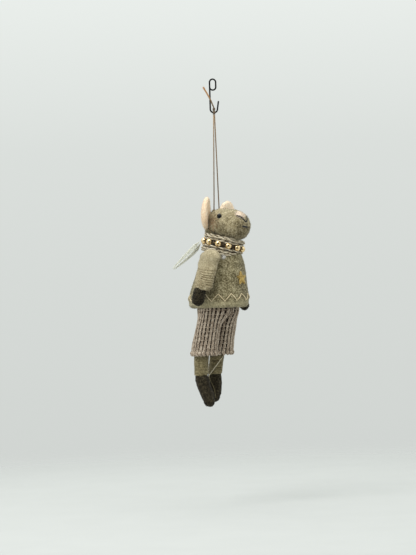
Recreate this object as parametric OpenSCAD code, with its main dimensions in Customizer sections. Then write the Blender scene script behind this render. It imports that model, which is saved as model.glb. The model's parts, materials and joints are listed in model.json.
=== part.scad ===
// Hanging felt mouse ornament: a needle-felted wool mouse in a sweater, a beaded
// yarn collar and rib-knit shorts, hung by a thread loop from a small wire hook.
// Origin: inside top of the hook's eye. +Z up, the mouse faces -Y, its right side is -X.

/* [Hook] */
// Diameter of the hook's wire
wire_d = 1.1; // [0.9:0.1:1.2]
// Half width of the hook's eye, at the middle of the wire
eye_r = 2.15; // [2.0:0.05:2.4]
// Height of the straight sides of the eye
eye_side = 3.3; // [2.5:0.1:4.0]
// Radius of the hook's bend, at the middle of the wire
bend_r = 2.5; // [2.4:0.05:2.7]
// Height of the bend's centre, measured down from the origin
bend_drop = 20.4; // [18:0.1:24]
// Turn of the hook about the vertical, against the mouse
hook_turn = -50; // [-60:5:-40]

/* [Thread] */
// Diameter of the hanging thread
thread_d = 0.84; // [0.7:0.02:0.9]
// Half the distance between the two places where the thread enters the head
entry_x = 2.84; // [2.6:0.02:3.2]
// Length of the two cut tails above the knot
tail_len = 20.5; // [15:0.5:21]
// Lean of the tails away from the hook's plane
tail_lean = 36; // [34:1:40]

/* [Head] */
// Half length of the head, nose to nape
head_l = 17.7; // [16.5:0.1:18.5]
// Half width of the head
head_w = 12; // [11.5:0.1:12.5]
// Half height of the head
head_h = 11.4; // [11:0.1:11.8]
// Sideways tilt of the head, lower on the mouse's left
head_roll = 7.5; // [4:0.5:10]
// Half height of an ear
ear_h = 11.4; // [10:0.1:12]
// Half width of an ear
ear_w = 7.6; // [6.5:0.1:8.5]
// Radius of a bead eye
eye_bead_r = 1.8; // [1.3:0.1:1.9]

/* [Collar] */
// Radius at which the beads sit
bead_ring_r = 13.9; // [13.7:0.1:14.2]
// Radius of one gold bead
bead_r = 2.15; // [1.8:0.05:2.2]
// Number of gold beads
bead_count = 12; // [12:1:12]
// Dip of the collar towards the mouse's front left
collar_dip = 14.5; // [12:0.5:16]

/* [Body] */
// Thickness of the sweater's felt
sweater_wall = 2.2; // [1.8:0.1:2.4]
// Radius of the felt star, centre to tip
star_r = 5.2; // [4.8:0.1:5.6]
// Number of zigzag stitches round the hem
zigzag_count = 14; // [12:1:16]

/* [Limbs] */
// Diameter of the wire inside an arm or a leg
limb_wire_d = 1.2; // [1.0:0.1:1.4]
// Radius of a wrapped leg
leg_r = 4.9; // [4.5:0.1:5.1]
// Running gap between a limb and what it turns in
gap = 0.4; // [0.35:0.05:0.5]

/* [Hidden] */
$fn = 48;

// Colours
WIRE = "#1c1a18";
THREAD = "#8c8478";
WOOL = "#8e8162";
PEACH = "#e6cdaa";
BROWN = "#4a3a2a";
YARN = "#c8b493";
GOLD = "#d8a63c";
MUSTARD = "#a08a52";
SATIN = "#dcdfd8";
BLACK = "#161412";
CHARCOAL = "#3a3426";
TAUPE = "#8a7c68";
BONE = "#d9c79c";

// Hook
wire_r = wire_d / 2;
eye_top = wire_r;
stem_x = -eye_r;
bend_x = stem_x + bend_r;
bend_low = -bend_drop - bend_r;
tip_lean = 9;
tip_len = 5.2;

// Thread: the hitch turns round the wire at the bottom of the bend
thread_r = thread_d / 2;
turn_r = wire_r + 0.06 + thread_r;
hitch = [bend_x * cos(hook_turn), bend_x * sin(hook_turn), bend_low];
knot_z = bend_low + turn_r + thread_r + 0.35;
knot_r = 1.05;
strand_gap = 0.5;
tail_slant = 22.2;
loop_top = bend_low - turn_r - thread_r - 0.12;
bar_z = -96;

// Head
head_at = [0, -9.6, -102];
nose_drop = 1.5;
// Offset of the nose patch and both stitches to the mouse's right
face_side = -1.6;
eye_at = [11.0, -1.2, 4.8];
nose_at = [face_side, -12.6, 5.45];
nose_half = [4.6, 4.1, 2.4];
nose_lean = 46;
nose_stitch_r = 0.5;
mouth_stitch_r = 0.6;
// Ears, right then left: [out from the middle, height over the head's centre, turn inwards]
ear_spots = [[11.7, 7.2, 30], [10.2, 7.6, 6]];
ear_thick = 3.4;
ear_back = 10;
ear_splay = 7;
// The hollow in front of an ear: its offset forward and up, and the rim it leaves
ear_hollow = [-2.6, 0.6];
ear_rim = 1.2;

// Collar
collar_at = [0, -4.9, -115.8];
bead_phase = 25;
bead_hole_r = 0.55;
roll_r = 2.4;
roll_rise = 3.6;
collar_in = 10.4;
collar_out = 12.7;
collar_h = 7.2;
roll_ring_r = 13;
string_r = 0.3;

// Torso rings, from the shoulders down: [x, y, z, half width, half depth]
torso_rings = [
    [0, -4.0, -123, 12.4, 14.4],
    [0, -3.4, -128, 13.8, 16.6],
    [0, -2.2, -135, 15.4, 18.6],
    [0, -0.8, -143, 17.4, 20.4],
    [0, 0.2, -149, 18.8, 21.6],
    [0, 0.6, -154, 19.4, 22.3],
    [0, 0.6, -157.5, 18.7, 21.4],
    [0, 0.6, -159.3, 17.0, 19.4]
];
sweater_top = -121.2;
star_z = -139.5;
star_side = -1.6;
star_slope = 10;
star_turn = 6;
star_thick = 1.5;
// Heights of the zigzag's lower and upper corners, and its turn about the body
zigzag_zs = [-154.8, -149.6];
zigzag_turn = 4;
stitch_r = 0.4;
stitch_lift = 0.3;

// Limbs, right side first where the two differ
SIDES = [-1, 1];
shoulder_xs = [19.0, 20.6];
sleeve_backs = [1, 0.3];
shoulder_ys = [-6.5, 3.5];
shoulder_zs = [-128.6, -134.2];
arm_leans = [0, 3.2];
hand_backs = [3.2, 0.4];
// Half width and half depth of a hand
hand_sizes = [[3.9, 4.4], [3.1, 3.4]];
hip_z = -171;
hip_y = 3.0;
hip_r = 9;
leg_half = 8.4;
hip_x = 8.65;

// ---------- shared shapes ----------

// Solid skin over ellipses [x, y, z, half width, half depth, slope towards +Y], level if no slope is given
module loft(rings, sides = 28) {
    last = len(rings) - 1;
    falling = rings[last][2] < rings[0][2];
    points = [
        for (r = falling ? rings : [for (i = [last : -1 : 0]) rings[i]])
            for (k = [0 : sides - 1])
                let (across = r[3] * cos(360 * k / sides), deep = r[4] * sin(360 * k / sides))
                    [r[0] + across, r[1] + deep, r[2] + deep * (len(r) > 5 ? r[5] : 0)]
    ];
    walls = [
        for (i = [0 : last - 1])
            for (k = [0 : sides - 1])
                let (a = i * sides + k, b = i * sides + (k + 1) % sides)
                    [a, b, b + sides, a + sides]
    ];
    caps = [
        [for (k = [sides - 1 : -1 : 0]) k],
        [for (k = [0 : sides - 1]) last * sides + k]
    ];
    polyhedron(points = points, faces = concat(walls, caps), convexity = 4);
}

// The right or left one of a pair
function at(pair, side) = pair[side < 0 ? 0 : 1];

function grown(rings, by) = [for (r = rings) [r[0], r[1], r[2], r[3] + by, r[4] + by]];

// Half axes of the torso at a height, between the two nearest rings
function ring_at(z, i = 0) =
    i >= len(torso_rings) - 2 || torso_rings[i + 1][2] <= z
        ? let (a = torso_rings[i], b = torso_rings[i + 1], t = (z - a[2]) / (b[2] - a[2])) a + t * (b - a)
        : ring_at(z, i + 1);

// A rounded tail for a list of rings: quarter circle down to a blunt tip
function dome_down(ring, depth, steps = 4) = [
    for (i = [1 : steps])
        let (s = 84 * i / steps)
            [ring[0], ring[1], ring[2] - depth * sin(s), ring[3] * cos(s), ring[4] * cos(s)]
];

function dome_up(ring, depth, steps = 4) = [
    for (i = [steps : -1 : 1])
        let (s = 84 * i / steps)
            [ring[0], ring[1], ring[2] + depth * sin(s), ring[3] * cos(s), ring[4] * cos(s)]
];

// Round bar from one point to another
module bar(a, b, r) {
    d = b - a;
    flat = norm([d[0], d[1]]);
    translate(a)
        rotate([0, atan2(flat, d[2]), atan2(d[1], d[0])])
            cylinder(h = norm(d), r = r, $fn = 24);
}

// Tube swept along points, all rings square to the chord at each point
function unit(v) = v / norm(v);
function along(p, i) = unit(p[min(i + 1, len(p) - 1)] - p[max(i - 1, 0)]);

module tube(route, r, across, sides = 8) {
    last = len(route) - 1;
    points = [
        for (i = [0 : last])
            let (t = along(route, i), s = unit(cross(t, across)), u = cross(t, s))
                for (k = [0 : sides - 1])
                    route[i] + r * cos(360 * k / sides) * s + r * sin(360 * k / sides) * u
    ];
    walls = [
        for (i = [0 : last - 1])
            for (k = [0 : sides - 1])
                let (a = i * sides + k, b = i * sides + (k + 1) % sides)
                    [a, a + sides, b + sides, b]
    ];
    caps = [
        [for (k = [0 : sides - 1]) k],
        [for (k = [sides - 1 : -1 : 0]) last * sides + k]
    ];
    polyhedron(points = points, faces = concat(walls, caps), convexity = 4);
}

// ---------- hook and thread ----------

module arc(r, from, sweep) {
    rotate([90, 0, 0])
        rotate([0, 0, from])
            rotate_extrude(angle = sweep)
                translate([r, 0]) circle(r = wire_r, $fn = 32);
}

module hook() {
    eye_mid = eye_top - eye_r;
    color(WIRE) rotate([0, 0, hook_turn]) {
        translate([0, 0, eye_mid]) arc(eye_r, 0, 180);
        translate([eye_r, 0, eye_mid - eye_side]) cylinder(h = eye_side, r = wire_r, $fn = 32);
        translate([0, 0, eye_mid - eye_side]) arc(eye_r, 200, 160);
        translate([stem_x, 0, -bend_drop]) cylinder(h = bend_drop + eye_mid, r = wire_r, $fn = 32);
        translate([bend_x, 0, -bend_drop]) arc(bend_r, 180, 180);
        translate([bend_x + bend_r, 0, -bend_drop]) {
            sphere(r = wire_r, $fn = 32);
            rotate([0, tip_lean, 0]) {
                cylinder(h = tip_len, r = wire_r, $fn = 32);
                translate([0, 0, tip_len]) sphere(r = wire_r, $fn = 32);
            }
        }
    }
}

module thread_turn() {
    color(THREAD)
        translate(hitch)
            rotate([0, 0, hook_turn])
                rotate([0, 90, 0])
                    rotate_extrude() translate([turn_r, 0]) circle(r = thread_r, $fn = 24);
}

module thread_knot() {
    color(THREAD) translate([hitch[0], hitch[1], knot_z + knot_r - thread_r]) sphere(r = knot_r);
}

module thread_tails() {
    foot = [hitch[0], hitch[1], knot_z + 2 * knot_r - thread_r - 0.1];
    color(THREAD)
        translate(foot)
            rotate([0, 0, hook_turn])
                rotate([tail_lean, 0, 0])
                    rotate([0, -tail_slant, 0])
                        for (s = SIDES) {
                            translate([0, s * (thread_r + 0.02), 0]) rotate([s * 1.5, 0, 0]) {
                                cylinder(h = tail_len, r = thread_r, $fn = 24);
                            }
                        }
}

// Right half of the loop's route, seen from behind; the left half mirrors it
loop_side = [
    [strand_gap, 0, loop_top],
    [0.9, 0, -36],
    [1.3, 0, -48],
    [1.7, 0, -60],
    [2.1, 0, -72],
    [2.5, 0, -84],
    [entry_x, 0, -91],
    [entry_x, 0, -94.6],
    [entry_x - 0.2, 0, -95.4],
    [entry_x - 0.7, 0, -95.9],
    [entry_x - 1.3, 0, bar_z],
    [0.6, 0, bar_z]
];
function on_hook_line(p) =
    let (t = (p[2] - bar_z) / (loop_top - bar_z)) [p[0] + t * hitch[0], p[1] + t * hitch[1], p[2]];
loop_route = [
    for (p = loop_side) on_hook_line([-p[0], p[1], p[2]]),
    for (i = [len(loop_side) - 1 : -1 : 0]) on_hook_line(loop_side[i])
];

module thread_loop() {
    color(THREAD) tube(loop_route, thread_r, [0, 1, 0]);
}

// ---------- head ----------

function head_swell(t) = pow(1 - pow(abs(t), 2.5), 0.44);
head_steps = [-0.995, -0.96, -0.88, -0.76, -0.6, -0.4, -0.2, 0, 0.2, 0.4, 0.58, 0.74, 0.87, 0.95, 0.99];
head_rings = [
    for (t = head_steps)
        let (s = head_swell(t), taper = 1 - 0.13 * max(t, 0))
            [0, -nose_drop * t, head_l * t, head_w * s * taper, head_h * s]
];

module in_head() {
    translate(head_at) rotate([0, head_roll, 0]) children();
}

module head_form() {
    in_head() rotate([90, 0, 0]) loft(head_rings, 32);
}

// Wedge that lets a strand lean fore and aft as the head nods
module strand_slot(x) {
    reach = 9;
    lean = 22;
    translate([x, 0, bar_z])
        rotate([90, 0, 90])
            linear_extrude(height = 1.3, center = true)
                polygon([
                    [-0.75, -0.75], [0.75, -0.75], [0.75 + reach * tan(lean), reach],
                    [-0.75 - reach * tan(lean), reach]
                ]);
}

// Closed rounded form with three half axes, along x, y and z
module egg(w, d, h) {
    tip = 84;
    loft([for (a = [tip : -12 : -tip]) [0, 0, h * sin(a), w * cos(a), d * cos(a)]], 32);
}

module head() {
    color(WOOL)
        difference() {
            head_form();
            translate([0, 0, bar_z]) rotate([0, 90, 0])
                cylinder(h = 2 * entry_x + 1, r = thread_r + 0.08, center = true, $fn = 32);
            strand_slot(-entry_x + 0.15);
            strand_slot(entry_x - 0.15);
        }
}

module ear(side) {
    spot = at(ear_spots, side);
    in_head()
        translate([side * spot[0], ear_back, spot[1]])
            rotate([0, side * ear_splay, -side * spot[2]])
                difference() {
                    egg(ear_w, ear_thick, ear_h);
                    translate([0, ear_hollow[0], ear_hollow[1]])
                        egg(ear_w - ear_rim, ear_thick + 0.1, ear_h - ear_rim);
                }
}

module right_ear() {
    color(PEACH) ear(-1);
}

module left_ear() {
    color(PEACH) ear(1);
}

module bead_eye(side) {
    color(BLACK) in_head() translate([side * eye_at[0], eye_at[1], eye_at[2]]) sphere(r = eye_bead_r);
}

module right_eye() {
    bead_eye(-1);
}

module left_eye() {
    bead_eye(1);
}

// Felt patch pressed into the top of the snout
module nose_pad() {
    color(PEACH)
        in_head()
            translate(nose_at)
                rotate([nose_lean, 0, 0]) scale(nose_half) sphere(r = 1);
}

module nose_stitch() {
    arm = [[4.9, -13.2, 5.4], [2.8, -15.8, 3.8], [0.5, -17.2, 1.6]];
    route = concat([for (p = arm) [-p[0], p[1], p[2]]], [arm[2], arm[1], arm[0]]);
    color(BLACK) in_head() translate([face_side, 0, 0]) tube(route, nose_stitch_r, [0, 1, 0]);
}

module mouth_stitch() {
    route = [[-2.6, -16.3, -2.0], [0, -17.1, -2.2], [2.6, -16.3, -2.0]];
    color(BLACK) in_head() translate([face_side, 0, 0]) tube(route, mouth_stitch_r, [0, 1, 0]);
}

// ---------- body ----------

// Wool core: neck, chest and seat, all inside the clothes
core_rings = concat(
    [[0, -4.9, -107, 6.4, 6.4], [0, -4.9, -109, 8.5, 8.5], [0, -4.9, -120, 8.6, 8.8]],
    grown([for (r = torso_rings) if (r[2] > -155) r], -sweater_wall - 0.3),
    [[0, 0.6, -155.5, 14.4, 11.6]]
);

module body_core() {
    color(WOOL)
        difference() {
            loft(core_rings);
            head_form();
        }
}

module sweater() {
    outer = concat([[0, -4.4, sweater_top, 11.0, 12.6]], torso_rings);
    inner = grown(outer, -sweater_wall);
    top = inner[0];
    low = inner[len(inner) - 1];
    color(WOOL)
        difference() {
            loft(outer);
            loft(concat(
                [[top[0], top[1], top[2] + 2, top[3], top[4]]],
                inner,
                [[low[0], low[1], low[2] - 2, low[3], low[4]]]
            ));
        }
}

module star() {
    ring = ring_at(star_z);
    front = ring[1] - ring[4];
    color(MUSTARD)
        translate([star_side, front - 0.1, star_z])
            rotate([90 - star_slope, 0, -star_turn])
                linear_extrude(height = star_thick)
                    polygon([
                        for (k = [0 : 9])
                            let (r = k % 2 == 0 ? star_r : 0.48 * star_r)
                                [0.8 * r * sin(36 * k), r * cos(36 * k)]
                    ]);
}

function hem_point(k) =
    let (z = zigzag_zs[k % 2], ring = ring_at(z), a = 180 * k / zigzag_count - zigzag_turn)
        [ring[0] + (ring[3] + stitch_lift) * cos(a), ring[1] + (ring[4] + stitch_lift) * sin(a), z];

module hem_zigzag() {
    end_gap = 0.13;
    color(BONE)
        for (k = [0 : 2 * zigzag_count - 1]) {
            from = hem_point(k);
            to = hem_point(k + 1);
            bar(from + end_gap * (to - from), to - end_gap * (to - from), stitch_r);
        }
}

// ---------- collar ----------

// The dip leans the ring over a level axis that lies across the hook's plane
module in_collar() {
    translate(collar_at)
        rotate(a = collar_dip, v = [-sin(hook_turn), cos(hook_turn), 0])
            children();
}

module ring_of(r, section_r) {
    rotate_extrude($fn = 64) translate([r, 0]) circle(r = section_r, $fn = 24);
}

module collar_core() {
    color(BROWN)
        in_collar()
            difference() {
                cylinder(h = collar_h, r = collar_out, center = true, $fn = 64);
                cylinder(h = collar_h + 1, r = collar_in, center = true, $fn = 64);
                for (s = SIDES) {
                    translate([0, 0, s * roll_rise]) ring_of(roll_ring_r, roll_r + 0.02);
                }
            }
}

module collar_roll(s) {
    color(YARN)
        in_collar()
            difference() {
                translate([0, 0, s * roll_rise]) ring_of(roll_ring_r, roll_r);
                cylinder(h = 3 * collar_h, r = collar_in, center = true, $fn = 64);
            }
}

module collar_top_roll() {
    collar_roll(1);
}

module collar_bottom_roll() {
    collar_roll(-1);
}

module bead_string() {
    color(BROWN) in_collar() ring_of(bead_ring_r, string_r);
}

module bead(i) {
    color(GOLD)
        in_collar()
            rotate([0, 0, 360 * i / bead_count + bead_phase])
                translate([bead_ring_r, 0, 0])
                    difference() {
                        sphere(r = bead_r);
                        rotate([90, 0, 0])
                            cylinder(h = 3 * bead_r, r = bead_hole_r, center = true, $fn = 24);
                    }
}

// ---------- label ----------

label_len = 25.8;
label_w = 11;
label_fall = 41;
label_out = 12.9;
label_across = -1;
label_z = -113.6;
label_bow = 3.0;
label_foot_gap = 0.9;
label_stitch_r = 0.2;
label_stitch_step = 1.9;

module in_label() {
    translate([-label_out * cos(hook_turn), -label_out * sin(hook_turn), label_z])
        translate(label_across * [sin(hook_turn), -cos(hook_turn), 0])
            rotate([0, 0, hook_turn + 180])
                rotate([0, label_fall, 0])
                    children();
}

// Folded tape: a straight upper ply and a bowed lower ply that meet at the fold
module label() {
    foot = 1.2;
    bow = [
        for (i = [0 : 10])
            let (t = i / 10, sag = label_bow * sin(180 * pow(t, 0.75)) * (1 - 0.2 * t))
                [foot + (label_len - foot) * t, -label_foot_gap - sag]
    ];
    top = [[label_len, 0.1], [foot, 0.6]];
    color(SATIN)
        in_label()
            translate([0, label_w / 2, 0])
                rotate([90, 0, 0])
                    linear_extrude(height = label_w) polygon(concat(bow, top));
}

module label_stitch() {
    color(BONE)
        in_label()
            for (k = [-2 : 2]) {
                translate([1.6, label_stitch_step * k, 0.62])
                    rotate([0, 90, 0]) cylinder(h = 1.6, r = label_stitch_r, $fn = 16);
            }
}

// ---------- arms ----------

// Rings of a sleeve: [outward, back and down from its shoulder, half width, half depth, slope of the cuff]
sleeve_shape = [
    [0, 0, 0, 4.2, 8.4, 0],
    [0.4, 0.1, 3.5, 4.5, 7.8, 0],
    [1.8, 1.0, 8, 4.7, 7.2, 0],
    [3.2, 1.3, 12.5, 4.8, 7.0, 0.05],
    [4.2, 1.4, 15.4, 4.7, 6.8, 0.12],
    [4.7, 1.6, 17.0, 4.5, 6.2, 0.16],
    [4.9, 1.6, 17.7, 3.9, 5.6, 0.16]
];
// The full top of a sleeve: [back, up] of its widest ring, its half depth and the height of its dome
shoulder_tops = [[-2.4, 4, 8.8, 6], [0, 1, 8.4, 7]];
arm_drop = 22;

// Point of an arm: outward, backward and down from the shoulder, with the arm's own lean
function arm_point(side, out, back, down) =
    [
        side * (at(shoulder_xs, side) + out),
        at(shoulder_ys, side) + back - at(arm_leans, side) * down / arm_drop,
        at(shoulder_zs, side) - down
    ];

function sleeve_rings(side) =
    let (top = at(shoulder_tops, side), widest = concat(arm_point(side, 0, top[0], -top[1]), [4.1, top[2]]))
        concat(
            dome_up(widest, top[3], 5),
            [widest],
            [
                for (s = sleeve_shape)
                    concat(arm_point(side, s[0], at(sleeve_backs, side) * s[1], s[2]), [s[3], s[4], s[5]])
            ]
        );

module arm_wire(side, by = 0) {
    palm_end = arm_point(side, 6.6, at(hand_backs, side), 25);
    color(WIRE) bar(arm_point(side, 0.4, 0, 1), palm_end, limb_wire_d / 2 + by);
}

module sleeve(side) {
    color(WOOL)
        difference() {
            loft(sleeve_rings(side));
            arm_wire(side, 0.02);
            hand_form(side, 0.02);
        }
}

module hand_form(side, by) {
    back = at(hand_backs, side);
    size = at(hand_sizes, side) + [by, by];
    wrist = concat(arm_point(side, 4.6, 0.6 * back, 13.8), 0.6 * size);
    palm = concat(arm_point(side, 6.0, 0.95 * back, 18), 0.94 * size);
    finger = concat(arm_point(side, 7.4, 1.15 * back, 24.6), size);
    loft(concat([wrist, palm, finger], dome_down(finger, size[1])), 20);
}

module hand(side) {
    color(CHARCOAL)
        difference() {
            hand_form(side, 0);
            arm_wire(side, 0.02);
        }
}

module right_arm_wire() {
    arm_wire(-1);
}

module left_arm_wire() {
    arm_wire(1);
}

module right_sleeve() {
    sleeve(-1);
}

module left_sleeve() {
    sleeve(1);
}

module right_hand() {
    hand(-1);
}

module left_hand() {
    hand(1);
}

// ---------- shorts and legs ----------

// Half ellipse beside the turning axis
module half_ellipse(half, r) {
    polygon(concat(
        [[0, -half]],
        [for (a = [-75 : 15 : 75]) [r * cos(a), half * sin(a)]],
        [[0, half]]
    ));
}

module hip_socket(side) {
    translate([side * hip_x, hip_y, hip_z])
        rotate([0, 90, 0])
            rotate_extrude() half_ellipse(leg_half + 2 * gap, hip_r + gap);
}

module shorts_waist() {
    rings = [
        [0, 1.2, -155.6, 15.6, 13.4],
        [0, 1.2, -158, 16.6, 14.5],
        [0, 1.2, -161, 16.4, 14.5],
        [0, 1.2, -164.2, 16.0, 13.3],
        [0, 1.9, -167, 15.8, 12.3]
    ];
    color(TAUPE)
        difference() {
            loft(rings);
            for (s = SIDES) {
                hip_socket(s);
            }
        }
}

// How far back the leg's parts lie, by side: [hem, wrap, ankle, toe]
leg_ys = [[7.9, 10.9, 11.5, 4.9], [8.0, 11.1, 13.5, 14.7]];
toe_zs = [-224.6, -222.6];

function leg_rings(side) =
    let (y = at(leg_ys, side), x = side * hip_x, hip = [x, hip_y, hip_z, leg_half, hip_r])
        concat(
            dome_up(hip, hip_r, 6),
            [
                hip,
                [x, hip_y + 2.3, hip_z - 7, leg_half, hip_r],
                [x, y[0] - 0.6, hip_z - 14, leg_half, hip_r + 1],
                [x, y[0], hip_z - 20, leg_half, hip_r + 1.4],
                [x, y[0] + 0.1, hip_z - 21.4, leg_half - 1, hip_r + 0.2]
            ]
        );

function shin(side) =
    let (y = at(leg_ys, side), x = side * hip_x)
        [
            [x, y[1] - 2.0, -180, leg_r - 0.2, leg_r - 0.2],
            [x, y[1], -194, leg_r, leg_r],
            [x, y[2], -206.6, leg_r - 0.2, leg_r - 0.2]
        ];

function boot_rings(side) =
    let (y = at(leg_ys, side), x = side * hip_x, step = y[3] - y[2])
        [
            [x, y[2], -206.7, leg_r - 0.4, leg_r - 0.4],
            [x, y[2] + 0.1 * step, -208.5, leg_r, leg_r],
            [x, y[2] + 0.3 * step, -213.5, leg_r - 0.1, leg_r + 0.3],
            [x, y[2] + 0.75 * step, -220, leg_r - 0.4, leg_r],
            [x, y[3], at(toe_zs, side), leg_r - 0.9, leg_r - 0.8]
        ];

// The wire follows the middle of the leg down into the boot
module leg_wire(side, by = 0) {
    shin_mid = [for (r = shin(side)) [r[0], r[1], r[2]]];
    boot_mid = [for (i = [2 : 3]) let (r = boot_rings(side)[i]) [r[0], r[1], r[2]]];
    route = concat([[side * hip_x, hip_y + 3, hip_z - 2]], shin_mid, boot_mid);
    color(WIRE) tube(route, limb_wire_d / 2 + by, [1, 0, 0], 12);
}

module shorts_leg(side) {
    color(TAUPE)
        difference() {
            loft(leg_rings(side));
            loft(grown(shin(side), 0.02), 24);
            leg_wire(side, 0.02);
        }
}

module leg_wrap(side) {
    color(WOOL)
        difference() {
            loft(shin(side), 24);
            leg_wire(side, 0.02);
        }
}

module boot(side) {
    rings = boot_rings(side);
    color(CHARCOAL)
        difference() {
            loft(concat(rings, dome_down(rings[4], 3.9)), 24);
            leg_wire(side, 0.02);
        }
}

module right_shorts_leg() {
    shorts_leg(-1);
}

module left_shorts_leg() {
    shorts_leg(1);
}

module right_leg_wire() {
    leg_wire(-1);
}

module left_leg_wire() {
    leg_wire(1);
}

module right_leg_wrap() {
    leg_wrap(-1);
}

module left_leg_wrap() {
    leg_wrap(1);
}

module right_boot() {
    boot(-1);
}

module left_boot() {
    boot(1);
}

hook();
thread_turn();
thread_knot();
thread_tails();
thread_loop();
head();
right_ear();
left_ear();
right_eye();
left_eye();
nose_pad();
nose_stitch();
mouth_stitch();
body_core();
sweater();
star();
hem_zigzag();
collar_core();
collar_top_roll();
collar_bottom_roll();
bead_string();
bead(0);  // bead_01
bead(1);  // bead_02
bead(2);  // bead_03
bead(3);  // bead_04
bead(4);  // bead_05
bead(5);  // bead_06
bead(6);  // bead_07
bead(7);  // bead_08
bead(8);  // bead_09
bead(9);  // bead_10
bead(10);  // bead_11
bead(11);  // bead_12
label();
label_stitch();
right_arm_wire();
right_sleeve();
right_hand();
left_arm_wire();
left_sleeve();
left_hand();
shorts_waist();
right_shorts_leg();
right_leg_wire();
right_leg_wrap();
right_boot();
left_shorts_leg();
left_leg_wire();
left_leg_wrap();
left_boot();
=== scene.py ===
"""Hanging felt mouse ornament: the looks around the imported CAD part.

Sizes are in millimetres and become metres where a mesh is made. Places come from the
CAD nodes' boxes and meshes, the joints in the record, and the thread's own route.
"""

import itertools
import json
import math

import bmesh
import bpy
import numpy as np
from mathutils import Matrix, Vector
from mathutils.bvhtree import BVHTree


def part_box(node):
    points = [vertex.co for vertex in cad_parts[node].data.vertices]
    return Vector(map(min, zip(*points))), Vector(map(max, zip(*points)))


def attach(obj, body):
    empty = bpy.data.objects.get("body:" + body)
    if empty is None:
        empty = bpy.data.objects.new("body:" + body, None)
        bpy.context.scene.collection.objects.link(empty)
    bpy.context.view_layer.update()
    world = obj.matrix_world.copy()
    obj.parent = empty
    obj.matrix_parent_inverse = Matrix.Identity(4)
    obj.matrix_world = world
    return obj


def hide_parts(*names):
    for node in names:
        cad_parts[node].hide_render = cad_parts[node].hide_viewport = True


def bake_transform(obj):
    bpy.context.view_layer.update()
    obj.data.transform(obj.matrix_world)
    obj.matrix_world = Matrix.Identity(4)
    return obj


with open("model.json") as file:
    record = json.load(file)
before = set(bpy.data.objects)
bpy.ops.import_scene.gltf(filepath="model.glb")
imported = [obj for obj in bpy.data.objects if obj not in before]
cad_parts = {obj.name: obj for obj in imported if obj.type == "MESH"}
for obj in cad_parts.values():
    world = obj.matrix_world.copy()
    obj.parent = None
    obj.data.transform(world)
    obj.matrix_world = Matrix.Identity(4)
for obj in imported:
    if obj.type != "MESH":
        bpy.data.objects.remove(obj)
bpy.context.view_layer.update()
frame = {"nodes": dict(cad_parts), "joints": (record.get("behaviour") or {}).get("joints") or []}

MM = 0.001
OUTSIDE = 90.0          # millimetres: a ray that starts this far away starts outside the mouse
AROUND = 40.0           # millimetres: the same for a ray that comes at a limb from the side
POLE = 0.004            # the radius of a turned form's ends, small but not nothing
UP = np.array([0.0, 0.0, 1.0])
JOINTS = {joint["name"]: joint for joint in frame["joints"]}
ACROSS = np.array(JOINTS["hook_swing"]["axis"], float)      # along the hook's flat
FRONT = np.cross(ACROSS, UP)                                # out of the hook's flat


# ---------- camera ----------

def make_camera():
    distance = 1.5
    frame_width = 0.2912
    roll = 0.0316
    target = -0.00749 * ACROSS - 0.1381 * UP
    right = ACROSS - roll * UP
    up = UP + roll * ACROSS
    data = bpy.data.cameras.new("camera")
    data.sensor_fit = "HORIZONTAL"
    data.sensor_width = 36
    data.lens = data.sensor_width * distance / frame_width
    data.clip_end = 20
    camera = bpy.data.objects.new("camera", data)
    bpy.context.scene.collection.objects.link(camera)
    axes = [v / np.linalg.norm(v) for v in (right, up, FRONT)]
    place = target + distance * FRONT
    camera.matrix_world = Matrix([[*(a[i] for a in axes), place[i]] for i in range(3)] + [[0, 0, 0, 1]])
    bpy.context.scene.camera = camera


make_camera()


# ---------- numbers: noise, frames and tubes ----------

def unit(v):
    return v / np.maximum(np.linalg.norm(v, axis=-1, keepdims=True), 1e-12)


def lattice(cell, seed):
    h = (cell[..., 0] * 73856093) ^ (cell[..., 1] * 19349663) ^ (cell[..., 2] * 83492791) ^ (seed * 26544357)
    h = (h & 0xFFFFFFFF) * 0x5BD1E995 & 0xFFFFFFFF
    h = (h ^ (h >> 15)) * 0x2C1B3C6D & 0xFFFFFFFF
    return ((h ^ (h >> 13)) & 0xFFFFFF) / float(0xFFFFFF)


def noise(points, size, seed=0):
    """Smooth noise from -1 to 1 with features of that size."""
    q = points / size
    cell = np.floor(q).astype(np.int64)
    f = q - cell
    f = f * f * (3 - 2 * f)
    total = 0
    for corner in itertools.product((0, 1), repeat=3):
        share = np.prod(np.where(corner, f, 1 - f), axis=-1)
        total = total + share * lattice(cell + np.array(corner), seed)
    return 2 * total - 1


def waves(points, *layers):
    """The sum of layers of noise, each (height, size, seed)."""
    return sum(height * noise(points, size, seed) for height, size, seed in layers)


def away(points, place):
    return np.linalg.norm(points - place, axis=1)


def bell(distance, width):
    """1 at no distance, falling away over that width."""
    return np.exp(-((distance / width) ** 2))


def cells(rows, columns, round_rows=False, round_columns=True):
    """Four corners of each cell in a grid of points, which may close on itself either way."""
    i = np.arange(rows - (not round_rows))[:, None]
    j = np.arange(columns - (not round_columns))
    row, next_row = i * columns, (i + 1) % rows * columns
    after = (j + 1) % columns
    return np.stack([row + j, next_row + j, next_row + after, row + after], axis=-1).reshape(-1, 4)


OTHER_WAY = [0, 3, 2, 1]        # the corners of a cell in the opposite order, so that its face turns over


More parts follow.
